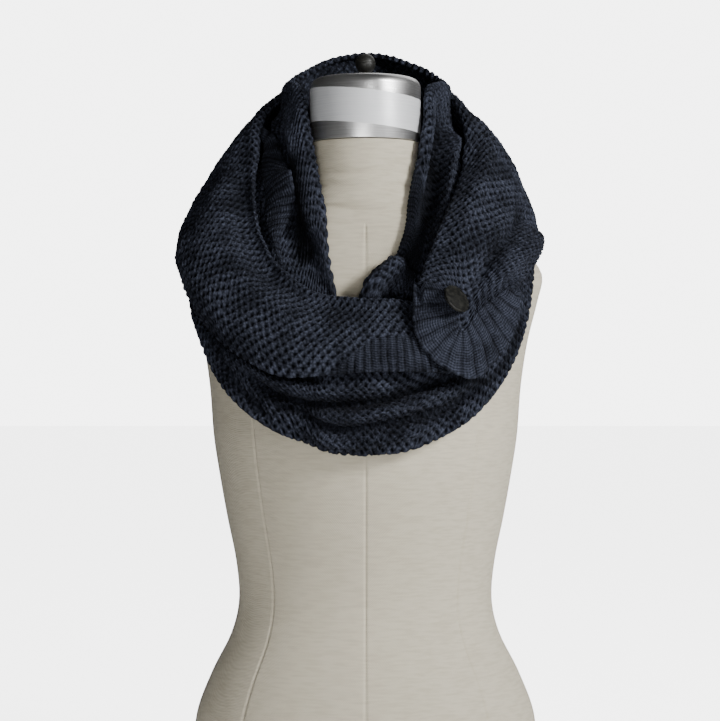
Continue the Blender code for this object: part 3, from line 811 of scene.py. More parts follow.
WRAP_CREASES = (
    Crease(
        ((-46, 3.4), (-34, 3.38), (-22, 3.32), (-14, 3.2), (-4, 3.12),
         (6, 3.03), (14, 2.88), (26, 2.9), (36, 3.1)),
        0.0045, -0.018, 1.1, 0.12, 0.8,
    ),
    Crease(
        ((-68, 3.85), (-60, 3.66), (-53, 3.44), (-46, 3.2), (-34, 2.96), (-22, 2.78), (-12, 2.62)),
        0.0048, -0.01, 1.4, 0.12, 0.7,
    ),
    Crease(((5, 3.1), (12, 3.05), (20, 3.16)), 0.005, -0.006, 1.4, 0.25, 0.4),
    # Painted shadow of the end band on the lower wrap along the band's outer edge; the cloth dips there by
    # only 2 mm.
    Crease(
        ((26, 2.9), (32, 3.12), (40, 3.6), (46, 3.8), (53, 3.86), (60, 3.86), (69, 3.84)),
        0.0048, -0.002, 1.8, 0.15, 0.7,
    ),
    Crease(((-46, 3.28), (-34, 3.14), (-22, 3.06), (-12, 2.96), (-2, 2.86), (8, 2.66)), 0.0055, 0.007),
    Crease(((-36, 3.6), (-22, 3.5), (-10, 3.38), (0, 3.3), (12, 3.18), (24, 3.14), (36, 3.3)), 0.0065, 0.01),
    Crease(
        ((-34, 3.58), (-26, 3.5), (-17, 3.5), (-8, 3.6), (8, 3.5), (20, 3.45), (34, 3.57), (43, 3.75)),
        0.0042, -0.013, 1.2, 0.12, 0.7,
    ),
    Crease(((-30, 3.75), (-16, 3.78), (-6, 3.82), (8, 3.74), (22, 3.7), (36, 3.84)), 0.007, 0.007),
    Crease(((-60, 3.6), (-50, 3.68), (-40, 3.78), (-30, 3.9)), 0.005, -0.006, 1.4, 0.25, 0.5),
    Crease(((34, 3.0), (44, 3.1), (54, 3.0), (66, 3.1), (80, 3.2)), 0.009, -0.011, 1.4, 0.25, 0.3),
    Crease(((-96, 3.4), (-80, 3.3), (-64, 3.35), (-50, 3.3)), 0.01, -0.009, 1.4, 0.25, 0.3),
    Crease(((-88, 2.9), (-72, 2.85), (-58, 2.9)), 0.009, 0.006),
    Crease(((100, 3.3), (130, 3.2), (160, 3.3), (185, 3.2)), 0.012, -0.007, 1.5),
    Crease(((170, 3.6), (205, 3.5), (235, 3.6)), 0.011, 0.005),
)
SECOND_CREASES = (
    # The trough across the right lap, with painted shade along it.
    Crease(((90, 3.4), (76, 3.0), (62, 2.72), (50, 2.5), (38, 2.25)), 0.0085, -0.012, 1.4, 0.25, 0.5),
    Crease(((84, 3.95), (70, 3.75), (58, 3.45), (46, 3.2), (36, 3.0)), 0.011, 0.01),
    Crease(((98, 1.2), (82, 1.25), (66, 1.2), (52, 1.1)), 0.01, 0.004),
    Crease(((128, 1.6), (160, 2.0), (200, 1.9), (226, 1.6)), 0.011, -0.007, 1.6),
    Crease(((132, 2.6), (170, 2.9), (215, 2.8)), 0.013, 0.006),
    Crease(((206, 3.0), (236, 3.1), (262, 3.2)), 0.012, -0.006, 1.6),
    Crease(((262, 2.2), (276, 2.4), (290, 2.8), (304, 3.2)), 0.014, -0.005),
    Crease(((286, 1.5), (304, 1.7), (324, 1.9), (345, 2.0)), 0.016, 0.004),
    Crease(((276, 0.9), (292, 1.1), (308, 1.2), (326, 1.3)), 0.012, -0.004),
)
COLLAR_NODES = (
    "first_turn_collar_left",
    "first_turn_inner_roll",
    "first_turn_inner_band",
    "first_turn_collar_front",
    "first_turn_collar_right",
)


def net_of_turns(sections: Sequence[TurnSection | DrapeSection]) -> Array:
    """The grid of points of sections that hold (reach, height) pairs, a row for each section."""
    return np.array([[polar(row.turn, *place) for place in row[1:]] for row in sections])


def places_between(first: float, last: float, pitch: float, coarse: int = 2) -> Array:
    """Even places from first to last about a pitch apart, their steps a multiple of coarse."""
    steps = coarse * max(1, round(abs(last - first) / (pitch * coarse)))
    return np.linspace(first, last, steps + 1)


def uneven(u: Array, v: Array, height: float) -> Array:
    """Slow unevenness of the cloth.

    Args:
        u: Places along the strip in metres.
        v: Places across it in metres.
        height: The most that it rises, in metres.

    Returns:
        The rise at each place.
    """
    first = np.sin(61 * u + 1.3 * np.sin(23 * v + 0.4)) * np.sin(47 * v + 0.9 + 2.1 * np.sin(19 * u))
    second = np.sin(118 * u - 71 * v + 1.7) * np.cos(33 * u + 2.0)
    return height * (0.65 * first + 0.35 * second)


def meeting(u: Array, closed: bool, reach: float = 0.03) -> Array:
    """1 along a strip, fading over a reach to 0 at both ends of one whose ends join."""
    fades = blend_step(0, reach, u - u.min()) * blend_step(0, reach, u.max() - u)
    return fades if closed else np.ones_like(u)


def flat_size(face: Array) -> Pair:
    """The flat cloth that makes a face.

    Args:
        face: The face's points.

    Returns:
        Its width and length in metres.
    """
    width = float(lengths_along(face, 1)[:, -1].mean())
    across = np.cross(face[1:, :-1] - face[:-1, :-1], face[:-1, 1:] - face[:-1, :-1])
    area = float(norm(across, axis=2).sum())
    return round(width, 4), round(area / width, 4)


@dataclass
class ScarfStretch:
    """One stretch of the scarf: part of a net, with its creases, finely divided and knitted.

    Attributes:
        name: The piece's name.
        nodes: The solids that it replaces.
        net: The net it is part of.
        yarn: Its material.
        slot: A material slot's name; not used.
        rests_on: What it lies on; not used.
        creases: Its ridges and troughs.
        waves: Height of its slow unevenness in metres.
        gauge: Its stitches.
        closed: Whether its last row joins the first.
        joins: The sides that meet another stretch.
        undercut: How far those sides are cut in at the back.
        rounding: Width of the cloth that goes round its rolled edges; not used.
        fold: How much shade is painted on each point of its surface along its creases, 0 to 1.
    """

    name: str
    nodes: tuple[str, ...]
    net: Net
    yarn: Material
    slot: str = "navy_knit"
    rests_on: tuple[str, ...] = ("scarf_collar",)
    creases: tuple[Crease, ...] = ()
    waves: float = 0.0012
    gauge: Gauge = Gauge()
    closed: bool = False
    joins: tuple[Side, ...] = ()
    undercut: float = JOIN_GAP / 2
    rounding: float = 0.0
    fold: Array | None = field(init=False, default=None)

    def surface(self, along: Array, across: Array) -> Array:
        """The outer face of the stretch without its stitches.

        Args:
            along: Knot places along the rows.
            across: Knot places across.

        Returns:
            A grid of points, creased and slightly uneven.
        """
        across = np.array([across] * len(along))
        plain = self.net.surface(along, across)
        lift, self.fold = creasing(plain, self.net, self.creases)
        places = along[:, None] + 0 * across
        slow = uneven(places, across, self.waves) * meeting(places, self.closed)
        return plain + (lift + slow)[..., None] * normals_of(plain, self.closed)

    def knit(self, face: Array, column: int, rib: Array | float = 0.0) -> None:
        """Knits the stretch on its face and dresses it.

        Args:
            face: The outer face.
            column: Number of the face's column at which a stitch has its own width.
            rib: Share of rib, everywhere or at each point.
        """
        run, cut = lengths_along(face, 0)[:, column], face
        if self.closed:
            cut = np.concatenate([face, face[:1]])
            total = run[-1] + norm(face[0, column] - face[-1, column])
            whole = 2 * round(total / self.gauge.width / 2) * self.gauge.width
            run = run * whole / total
        u = np.repeat(run[:, None], face.shape[1], axis=1)
        v = lengths_along(face, 1)
        drawn = meeting(u, self.closed)
        slow, fine = WANDER_ALONG
        u = u + drawn * (slow * np.sin(37 * v + 25 * u) + fine * np.sin(131 * v - 90 * u))
        slow, fine = WANDER_ACROSS
        v = v + drawn * (slow * np.sin(29 * u + 1.1) + fine * np.sin(83 * u))
        plain = np.zeros(face.shape[:2])
        fold = plain if self.fold is None else self.fold
        sides = (self.closed, self.joins, self.undercut)
        piece = KnitShell(self.name, face, u, v, plain + rib, fold, self.gauge, *sides).build()
        piece.data.materials.append(self.yarn)
        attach(piece, "root")
        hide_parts(*self.nodes)
        width, length = flat_size(cut)


@dataclass
class FirstTurn:
    """The first turn: the collar by the neck, and the lower wrap below its shelf.

    Attributes:
        inner_yarn: Material of the collar.
        yarn: Material of the lower wrap.
        collar_pitch: Distance between the points of the collar's mesh.
        wrap_pitch: Distance between the points of the lower wrap's mesh.
        band_turns: Where the ribbed inner band fades in and out.
        band_fade: Half the width over which it fades into the open knit.
        overlap: How far the lower wrap starts below the shelf.
        net: The net of the whole turn.
    """

    inner_yarn: Material
    yarn: Material
    collar_pitch: float = 0.0013
    wrap_pitch: float = 0.00134
    band_turns: tuple[float, float, float, float] = (18, 24, 47, 52)
    band_fade: float = 0.002
    overlap: float = 0.0006
    net: Net = field(init=False)

    def __post_init__(self) -> None:
        """Draws the net."""
        self.net = Net(net_of_turns(FIRST_TURN), [row.turn for row in FIRST_TURN], closed=True)

    def rows(self, pitch: float, column: float) -> Array:
        """Even knot places round the whole turn.

        Args:
            pitch: How far apart they are.
            column: The column at which they are.

        Returns:
            The places.
        """
        knots = self.net.around[:-1]
        line = self.net.surface(knots, [np.array([self.net.at_column(column)])] * len(knots))[:, 0]
        length = norm(line - np.roll(line, 1, axis=0), axis=1).sum()
        return np.linspace(0, self.net.around[-1], 2 * round(length / pitch / 2), endpoint=False)

    def collar(self) -> None:
        """Knits the collar, with the ribbed band that shows beside the neck."""
        part = ScarfStretch("scarf_collar", COLLAR_NODES, self.net, self.inner_yarn, waves=0.001)
        part.rests_on, part.creases = ("form_canvas_body",), COLLAR_CREASES
        part.gauge = Gauge(rib_pitch=INNER_RIB_PITCH, rib_relief=0.0019)
        part.closed, part.joins = True, (Side.OUTER,)
        along = self.rows(self.collar_pitch, 1.0)
        across = places_between(0, self.net.at_column(2), self.collar_pitch)
        low, full, still, gone = (self.net.at_turn(turn) for turn in self.band_turns)
        valley = self.net.at_column(1)
        rib = blend_step(low, full, along) * (1 - blend_step(still, gone, along))
        fade = blend_step(valley - self.band_fade, valley + self.band_fade, across)
        column = int(np.argmin(np.abs(across - valley)))
        part.knit(part.surface(along, across), column, rib[:, None] * (1 - fade)[None, :])

    def wrap(self) -> None:
        """Knits the lower wrap with its long folds across the chest."""
        nodes = ("first_turn_lower_wrap",)
        part = ScarfStretch("scarf_lower_wrap", nodes, self.net, self.yarn, waves=0.0014)
        part.rests_on, part.creases = ("form_canvas_body",), WRAP_CREASES
        part.closed, part.joins = True, (Side.INNER,)
        along = self.rows(self.wrap_pitch, 3.4)
        start = self.net.at_column(2) + self.overlap
        across = places_between(start, self.net.out[-1], self.wrap_pitch)
        part.knit(part.surface(along, across), len(across) * 2 // 3)


@dataclass
class SecondTurn:
    """The second turn: right lap, back and left drape in one run, with its ribbed hem band.

    Attributes:
        yarn: Its material.
        pitch: Distance between the points of the meshes that show in front.
        back_pitch: The same at the back.
        back_turns: First and last turn of the back, where it meets the lap and the drape.
        drape_end: Last turn of the left drape.
        band_turns: Turns at which the depth of the ribbed band is given.
        band_depths: Depth of the band from the hem at those turns.
        band_fade: Half the width over which it fades into the open knit.
        lap_undercut: How far the lap's ends are cut in at the back.
        net: The net of the whole run.
        lap_end: The two rows at the lap's end, where the end band is knitted on, the outermost first.
    """

    yarn: Material
    pitch: float = 0.00115
    back_pitch: float = 0.0016
    back_turns: Pair = (118, 241)
    drape_end: float = 396
    band_turns: tuple[float, ...] = (-4, 1, 8, 36)
    band_depths: tuple[float, ...] = (-0.002, 0.010, 0.034, 0.036)
    band_fade: float = 0.0015
    lap_undercut: float = 0.0018
    net: Net = field(init=False)
    lap_end: Array = field(init=False)

    def __post_init__(self) -> None:
        """Draws the net."""
        right = np.array(SECOND_TURN_RIGHT)[::-1]
        back, left = net_of_turns(SECOND_TURN_BACK), net_of_turns(SECOND_TURN_LEFT)
        turns = [*LAP_TURNS, *(row.turn for row in SECOND_TURN_BACK)]
        turns += [row.turn + 360 for row in SECOND_TURN_LEFT]
        self.net = Net(np.concatenate([right, back, left]), turns)

    def part(self, name: str, *nodes: str, joins: tuple[Side, ...] = (Side.START, Side.END)) -> ScarfStretch:
        """A stretch of the run, by its name, its solids and the sides that meet another stretch."""
        run = (self.net, self.yarn)
        return ScarfStretch(name, nodes, *run, creases=SECOND_CREASES, waves=0.0013, joins=joins)

    def face(self, part: ScarfStretch, first: float, last: float, pitch: float) -> Array:
        """The outer face of a stretch of the run, from its first turn to its last."""
        along = places_between(self.net.at_turn(first), self.net.at_turn(last), pitch)
        return part.surface(along, places_between(0, self.net.out[-1], pitch))

    def rib_share(self, face: Array) -> Array:
        """Share of rib of the left drape, full below the upper line of its hem band.

        Args:
            face: The drape's outer face.

        Returns:
            The share at each point.
        """
        turns = np.linspace(self.back_turns[1], self.drape_end, face.shape[0]) - 360
        depth = np.interp(turns, self.band_turns, self.band_depths)
        from_edge = lengths_along(face, 1)
        from_hem = from_edge[:, -1:] - from_edge
        return 1 - blend_step(-self.band_fade, self.band_fade, from_hem - depth[:, None])

    def lap(self) -> None:
        """Knits the right lap, which comes over the shoulder down to the button."""
        part = self.part("scarf_right_lap", "second_turn_right_lap")
        part.gauge = Gauge(width=0.0124, height=0.0094, slope=0.0)
        part.undercut = self.lap_undercut
        face = self.face(part, self.net.turns[0], self.back_turns[0], self.pitch)
        self.lap_end = face[:2]
        part.knit(face, face.shape[1] // 2)

    def back(self) -> None:
        """Knits the stretch across the shoulders at the back."""
        part = self.part("scarf_back", "second_turn_back")
        face = self.face(part, *self.back_turns, self.back_pitch)
        part.knit(face, face.shape[1] // 2)

    def drape(self) -> None:
        """Knits the broad left drape and its ribbed hem band."""
        part = self.part("scarf_left_drape", "second_turn_left_drape", "end_band_under", joins=(Side.START,))
        part.gauge = Gauge(slope=-0.12)
        part.rests_on = ("scarf_collar", "scarf_lower_wrap")
        face = self.face(part, self.back_turns[1], self.drape_end, self.pitch)
        part.knit(face, face.shape[1] * 2 // 3, self.rib_share(face))


@dataclass
class EndBand:
    """The ribbed end of the scarf, fanned round the button.

    Attributes:
        lap_end: The two rows at the end of the lap that it is knitted on, the outermost first.
        yarn: Its material.
        pitch: Distance between the points of its mesh.
        drawn_in: Distance over which its edges are drawn to the lap.
        inner_fade: Share of its width over which that dies away.
        end_fade: Share of its length over which it dies away from the first and last ribs.
        undercut: How far its sides by the lap are cut in at the back, where the lap's wall is.
    """

    lap_end: Array
    yarn: Material
    pitch: float = 0.0009
    drawn_in: float = 0.011
    inner_fade: float = 0.45
    end_fade: float = 0.12
    undercut: float = 0.0026

    def to_lap(self, points: Array) -> Array:
        """How far each point of an edge is from its place by the lap.

        Args:
            points: The points of the edge.

        Returns:
            A vector for each, which dies away where the edge leaves the lap.
        """
        numbers = np.arange(self.lap_end.shape[1])
        fine = np.linspace(0, numbers[-1], 8 * len(numbers))
        away = unit(self.lap_end[0] - self.lap_end[1])
        line = self.lap_end[0] + 2 * JOIN_GAP * away
        line = np.stack([np.interp(fine, numbers, line[:, axis]) for axis in range(3)], axis=1)
        steps = line[None] - points[:, None]
        nearest = np.argmin(norm(steps, axis=2), axis=1)
        step = steps[np.arange(len(points)), nearest]
        reach = norm(step, axis=1, keepdims=True)
        return step * (1 - blend_step(0.6 * self.drawn_in, self.drawn_in, reach))

    def joined(self, face: Array) -> Array:
        """The fan with its inner edge and its first and last ribs drawn to the lap.

        Args:
            face: The fan's outer face.

        Returns:
            The same face, moved.
        """
        across = 1 - blend_step(0, self.inner_fade, np.linspace(0, 1, face.shape[1]))[None, :, None]
        down = np.linspace(0, 1, face.shape[0])[:, None, None]
        inner = self.to_lap(face[:, 0])
        first = self.to_lap(face[0]) - inner[:1] * across[0]
        last = self.to_lap(face[-1]) - inner[-1:] * across[0]
        moved = face + inner[:, None] * across
        moved = moved + first[None] * (1 - blend_step(0, self.end_fade, down))
        return moved + last[None] * (1 - blend_step(0, self.end_fade, 1 - down))

    def build(self) -> None:
        """Knits the fan."""
        net = Net(np.array(END_FAN), range(len(END_FAN)), rolled=False)
        part = ScarfStretch("scarf_end_band", ("end_band_front",), net, self.yarn, "navy_rib")
        part.rests_on, part.waves, part.undercut = ("scarf_right_lap",), 0.0006, self.undercut
        part.gauge = Gauge(rib_pitch=FAN_RIB_PITCH, rib_power=0.4)
        part.joins = (Side.INNER, Side.START, Side.END)
        along = places_between(0, net.around[-1], self.pitch)
        face = self.joined(part.surface(along, places_between(0, net.out[-1], self.pitch)))
        part.knit(face, face.shape[1] * 3 // 4, 1.0)


@dataclass
class EdgeBand:
    """The pleated ribbed edge band that is turned in at the left of the collar.

    Attributes:
        collar: The first turn's net, on which the band lies.
        yarn: Its material.
        pitch: Distance between the points of its mesh.
        rounding: Width of the cloth that goes round its two rolled edges.
        bulge: How far its middle stands out.
        stand: How far its inner side stands off the collar.
    """

    collar: Net
    yarn: Material
    pitch: float = 0.0009
    rounding: float = 0.0048
    bulge: float = 0.003
    stand: float = 0.004

    def edge(self, places: Sequence[Pair]) -> Array:
        """Knot places of (turn, share of the collar's width) pairs on the collar."""
        shelf = self.collar.at_column(2)
        return np.array([[self.collar.at_turn(turn), share * shelf] for turn, share in places])

    def build(self) -> None:
        """Knits the band on the collar's face, moved out by the collar's wall."""
        inner = self.edge([row.inner for row in EDGE_BAND_LEFT])
        outer = self.edge([row.outer for row in EDGE_BAND_LEFT])
        knots = outer[:, 0]
        rows = places_between(knots[0], knots[-1], self.pitch)
        inner, outer = smooth(knots, inner, rows), smooth(knots, outer, rows)
        count = len(places_between(0, 0.5 * self.collar.at_column(2), self.pitch))
        share = np.linspace(0, 1, count)[None, :, None]
        places = inner[:, None] * (1 - share) + outer[:, None] * share
        plain = self.collar.scattered(places[..., 0], places[..., 1])
        lift = creasing(plain, self.collar, COLLAR_CREASES)[0]
        raised = CLOTH_WALL + 2 * LAYER_GAP + self.stand * (1 - share)
        lain = plain + lift[..., None] * normals_of(plain) + raised * normals_of(plain)[:, -1:]
        taut = lain[:, :1] * (1 - share) + lain[:, -1:] * share
        face = taut + self.bulge * np.sin(math.pi * share) * normals_of(taut)
        part = ScarfStretch("scarf_edge_band", ("edge_band_left",), self.collar, self.yarn, "navy_rib")
        part.gauge = Gauge(rib_pitch=0.0072, rib_relief=0.002)
        part.rounding = self.rounding
        part.knit(face, count - 1, 1.0)


class Board:
    """A node tree with short ways to add and join its nodes."""

    def __init__(self, tree: NodeTree) -> None:
        """Takes the tree."""
        self.tree = tree

    def feed(self, socket: NodeSocket, value: object) -> None:
        """Joins a socket to an output, or sets it.

        Args:
            socket: The socket.
            value: The output, or a number or colour.
        """
        if isinstance(value, NodeSocket):
            self.tree.links.new(value, socket)
        elif isinstance(value, tuple):
            socket.default_value = value[: len(socket.default_value)]
        else:
            socket.default_value = value

    def node(self, kind: str, inputs: dict[str | int, object], **settings: object) -> Node:
        """Adds a node.

        Args:
            kind: Its type.
            inputs: What its inputs are fed, by name or number.
            settings: Its settings.

        Returns:
            The node.
        """
        node = self.tree.nodes.new(kind)
        for name, value in settings.items():
            setattr(node, name, value)
        for name, value in inputs.items():
            self.feed(node.inputs[name], value)
        return node

    def math(self, operation: str, *values: object) -> NodeSocket:
        """The result of a Math node."""
        return self.node("ShaderNodeMath", dict(enumerate(values)), operation=operation).outputs[0]

    def times(self, first: object, second: object) -> NodeSocket:
        """One number times another."""
        return self.math("MULTIPLY", first, second)

    def plus(self, first: object, second: object) -> NodeSocket:
        """One number plus another."""
        return self.math("ADD", first, second)

    def over(self, first: object, second: object) -> NodeSocket:
        """One number over another."""
        return self.math("DIVIDE", first, second)

    def ramp(self, value: object, low: float, high: float, start: float = 0, end: float = 1) -> NodeSocket:
        """A value between low and high spread smoothly from start to end."""
        ends = {"Value": value, "From Min": low, "From Max": high, "To Min": start, "To Max": end}
        return self.node("ShaderNodeMapRange", ends, interpolation_type="SMOOTHSTEP").outputs["Result"]

    def mix(self, share: object, first: object, second: object) -> NodeSocket:
        """A colour mixed from two."""
        return self.node("ShaderNodeMix", {0: share, 6: first, 7: second}, data_type="RGBA").outputs[2]

    def mix_numbers(self, share: object, first: object, second: object) -> NodeSocket:
        """A number mixed from two."""
        return self.node("ShaderNodeMix", {0: share, 2: first, 3: second}, data_type="FLOAT").outputs[0]

    def shade(self, colour: object, factor: object) -> NodeSocket:
        """A colour multiplied by a factor."""
        return self.node("ShaderNodeVectorMath", {0: colour, "Scale": factor}, operation="SCALE").outputs[0]

    def noise(self, place: object, scale: float, detail: float = 2.0) -> NodeSocket:
        """Noise of a scale at a place."""
        inputs = {"Vector": place, "Scale": scale, "Detail": detail}
        return self.node("ShaderNodeTexNoise", inputs).outputs["Fac"]

    def stretched(self, place: object, scale: Point) -> NodeSocket:
        """A place scaled along its axes, for streaks."""
        return self.node("ShaderNodeMapping", {"Vector": place, "Scale": scale}).outputs[0]

    def split(self, place: object) -> Sequence[NodeSocket]:
        """The x, y and z of a place."""
        return self.node("ShaderNodeSeparateXYZ", {0: place}).outputs

    def place(self) -> NodeSocket:
        """The object's own coordinates in metres."""
        return self.node("ShaderNodeTexCoord", {}).outputs["Object"]

    def share(self, name: str) -> NodeSocket:
        """A share that the mesh holds at each of its points."""
        return self.node("ShaderNodeAttribute", {}, attribute_name=name).outputs["Fac"]

    def bump(self, height: object, distance: float, strength: float = 1.0) -> NodeSocket:
        """The normal that a height in parts of a distance gives."""
        inputs = {"Height": height, "Distance": distance, "Strength": strength}
        return self.node("ShaderNodeBump", inputs).outputs[0]


class Effect(Enum):
    """The shader node groups that several finishes share, each by the name of its builder."""

    KNIT = "open_knit"
    RIB = "rib_knit"
    FUZZ = "yarn_fuzz"
    WEAVE = "plain_weave"
    STREAKS = "fine_streaks"


@dataclass
class EffectGroups:
    """Builds each shader node group once and places it in materials.

    Attributes:
        built: The groups that are built.
    """

    built: dict[Effect, NodeTree] = field(default_factory=dict)

    def start(
        self, effect: Effect, numbers: dict[str, float], *outputs: str
    ) -> tuple[Board, Sequence[NodeSocket], Sequence[NodeSocket]]:
        """A new group with its sockets.

        Args:
            effect: Which group it is.
            numbers: Each input after Place, with its default.
            outputs: Name of each output, which is a number.

        Returns:
            Its board, its inputs, which start with Place, and its outputs' sockets.
        """
        tree = bpy.data.node_groups.new(effect.value, "ShaderNodeTree")
        tree.interface.new_socket(name="Place", in_out="INPUT", socket_type="NodeSocketVector")
        for name, default in numbers.items():
            socket = tree.interface.new_socket(name=name, in_out="INPUT", socket_type="NodeSocketFloat")
            socket.default_value = default
        for name in outputs:
            tree.interface.new_socket(name=name, in_out="OUTPUT", socket_type="NodeSocketFloat")
        board = Board(tree)
        self.built[effect] = tree
        return board, board.node("NodeGroupInput", {}).outputs, board.node("NodeGroupOutput", {}).inputs

    def open_knit(self) -> None:
        """Knotted loops of the open knit, 0 in the cracks between them to 1 on each."""
        sizes = {"Width": STITCH_WIDTH, "Height": STITCH_HEIGHT}
        board, (place, width, height, *_), result = self.start(Effect.KNIT, sizes, "Strand")
        x, y, _ = board.split(place)
        turn = 2 * math.pi
        across, up = board.times(board.over(x, width), turn), board.times(board.over(y, height), turn)
        twist = board.plus(board.times(across, 2.0), board.times(up, 3.0))
        ply = board.math("MULTIPLY_ADD", board.math("SINE", twist), 0.5, 0.5)
        loops = {0: board.times(across, LOOPS_ACROSS / turn), 1: board.times(up, LOOPS_UP / turn)}
        scaled = board.node("ShaderNodeCombineXYZ", loops).outputs[0]
        cell = {"Vector": scaled, "Scale": 1.0, "Randomness": 0.85}
        cells = board.node("ShaderNodeTexVoronoi", cell, voronoi_dimensions="2D", feature="F1")
        loop = board.ramp(cells.outputs["Distance"], 0.15, 0.75, 1.0, 0.0)
        board.feed(result["Strand"], board.plus(board.times(loop, 0.7), board.times(ply, 0.3)))

    def rib_knit(self) -> None:
        """Raised ribs of small slanting stitches."""
        sizes = {"Pitch": RIB_PITCH, "Stitch": 0.0026}
        board, (place, pitch, stitch, *_), result = self.start(Effect.RIB, sizes, "Strand")
        x, y, _ = board.split(place)
        row = board.plus(board.over(y, stitch), board.math("PINGPONG", board.over(x, pitch), 0.5))
        wave = board.math("SINE", board.times(row, 2 * math.pi))
        column = board.times(board.over(x, STITCH_COLUMN), math.pi)
        groove = board.math("ABSOLUTE", board.math("SINE", column))
        slanting = board.math("MULTIPLY_ADD", wave, 0.35, 0.25)
        board.feed(result["Strand"], board.plus(slanting, board.times(groove, 0.45)))

    def yarn_fuzz(self) -> None:
        """Fine fluff and slow changes of tone in the yarn."""
        board, (place, *_), result = self.start(Effect.FUZZ, {}, "Fluff", "Tone")
        board.feed(result["Fluff"], board.noise(place, 900.0, 3.0))
        fleck = board.times(board.noise(place, 420.0), 0.8)
        board.feed(result["Tone"], board.plus(board.noise(place, 34.0), fleck))

    def plain_weave(self) -> None:
        """Threads of a plain weave with slubs."""
        sizes = {"Thread": 0.0009}
        board, (place, thread, *_), result = self.start(Effect.WEAVE, sizes, "Thread", "Slub")
        x, y, z = board.split(place)
        steps = (board.times(board.over(along, thread), math.pi) for along in (board.plus(x, y), z))
        board.feed(result["Thread"], board.times(*(board.math("SINE", step) for step in steps)))
        board.feed(result["Slub"], board.noise(board.stretched(place, (60, 60, 420)), 1.0, 3.0))

    def fine_streaks(self) -> None:
        """Brushed streaks that run level round an upright piece."""
        board, (place, scale, *_), result = self.start(Effect.STREAKS, {"Scale": 1.0}, "Streak", "Cloud")
        scaled = board.shade(place, scale)
        board.feed(result["Streak"], board.noise(board.stretched(scaled, (18, 18, 1700)), 1.0, 3.0))
        board.feed(result["Cloud"], board.noise(scaled, 22.0, 3.0))

    def place(self, board: Board, effect: Effect, **values: object) -> Sequence[NodeSocket]:
        """Puts a group in a material, built if it is the first use.

        Args:
            board: The material's board.
            effect: Which group.
            values: Its inputs by name.

        Returns:
            Its outputs.
        """
        if effect not in self.built:
            getattr(self, effect.value)()
        return board.node("ShaderNodeGroup", values, node_tree=self.built[effect]).outputs


GROUPS = EffectGroups()


class FinishBoard(Board):
    """The board of a new material with a Principled shader."""

    def __init__(self, name: str) -> None:
        """Makes the material.

        Args:
            name: Its name.
        """
        self.material = bpy.data.materials.new(name)
        self.material.use_nodes = True
        super().__init__(self.material.node_tree)

    def finished(self, **inputs: object) -> Material:
        """Feeds the shader.

        Args:
            inputs: What its inputs are fed, by their names with _ for a space.

        Returns:
            The material.
        """
        shader = self.tree.nodes["Principled BSDF"]
        for name, value in inputs.items():
            self.feed(shader.inputs[name.replace("_", " ")], value)
        return self.material


@dataclass(frozen=True)
class YarnFinish:
    """Matt chunky yarn, with shade painted in its folds, on its ribs and in the holes and grooves of its
    stitches.

    Attributes:
        name: The material's name.
        colour: The yarn.
        hole_shade: Painted shade colour of the yarn deep in a hole.
        rib_pitch: Distance between ribs.
        rib_shade_tone: Brightness of the ribs against the open knit, a painted shade that dims the ribbed
            stretches.
        fold_shade_tone: Brightness of the painted shade in the middle of a crease's trough.
    """

    name: str = "navy_yarn"
    colour: Colour = (0.0215, 0.0244, 0.035, 1.0)
    hole_shade: Colour = (0.0016, 0.0019, 0.0034, 1.0)
    rib_pitch: float = RIB_PITCH
    rib_shade_tone: float = 0.9
    fold_shade_tone: float = 0.12

    def material(self) -> Material:
        """Builds the yarn.

        Returns:
            Its material.
        """
        board = FinishBoard(self.name)
        flat = board.node("ShaderNodeUVMap", {}, uv_map="cloth").outputs[0]
        rib, sunk, fold = board.share("rib"), board.share("sunk"), board.share("fold")
        knit = GROUPS.place(board, Effect.KNIT, Place=flat)["Strand"]
        ribs = GROUPS.place(board, Effect.RIB, Place=flat, Pitch=self.rib_pitch)["Strand"]
        fuzz = GROUPS.place(board, Effect.FUZZ, Place=board.place())
        strand = board.mix_numbers(rib, knit, ribs)
        tone = board.ramp(fuzz["Tone"], 0.65, 1.15, 0.5, 1.5)
        # Painted shade: lighter on the stitches' tops, darker down in their holes and grooves.
        tone = board.times(tone, board.ramp(sunk, 0.0, 0.85, 1.3, 0.40))
        # Painted shade in the cracks between the knotted loops.
        tone = board.times(tone, board.ramp(strand, 0.0, 1.0, 0.5, 1.5))
        # Painted shade on the ribbed stretches.
        tone = board.times(tone, board.ramp(rib, 0.0, 1.0, 1.0, self.rib_shade_tone))
        # Painted shade along the middle of the creases' troughs.
        tone = board.times(tone, board.ramp(fold, 0.0, 1.0, 1.0, self.fold_shade_tone))
        height = board.plus(board.times(strand, 0.5), board.times(fuzz["Fluff"], 0.9))
        return board.finished(
            # Painted shade: the hole shade colour deep in the holes and grooves.
            Base_Color=board.mix(board.ramp(sunk, 0.55, 0.95), board.shade(self.colour, tone), self.hole_shade),
            Roughness=board.ramp(fuzz["Fluff"], 0.3, 0.7, 0.78, 0.95),
            Specular_IOR_Level=0.06,
            Sheen_Weight=0.01,
            Sheen_Roughness=0.5,
            Normal=board.bump(height, 0.0010, 0.9),
        )


@dataclass(frozen=True)
class CanvasFinish:
    """Plain woven canvas of the dress form."""

    name: str = "form_canvas"
    colour: Colour = (0.59, 0.54, 0.42, 1.0)
    shade: Colour = (0.51, 0.46, 0.35, 1.0)

    def material(self) -> Material:
        """Builds the canvas.

        Returns:
            Its material.
        """
        board = FinishBoard(self.name)
        weave = GROUPS.place(board, Effect.WEAVE, Place=board.place())
        cloth = board.mix(board.ramp(weave["Slub"], 0.35, 0.75), self.colour, self.shade)
        height = board.plus(weave["Thread"], board.times(weave["Slub"], 1.5))
        return board.finished(
            Base_Color=board.shade(cloth, board.ramp(weave["Thread"], -1.0, 1.0, 0.93, 1.04)),
            Roughness=board.ramp(weave["Slub"], 0.3, 0.7, 0.86, 0.96),
            Sheen_Weight=0.1,
            Normal=board.bump(height, 0.0002, 0.6),
        )


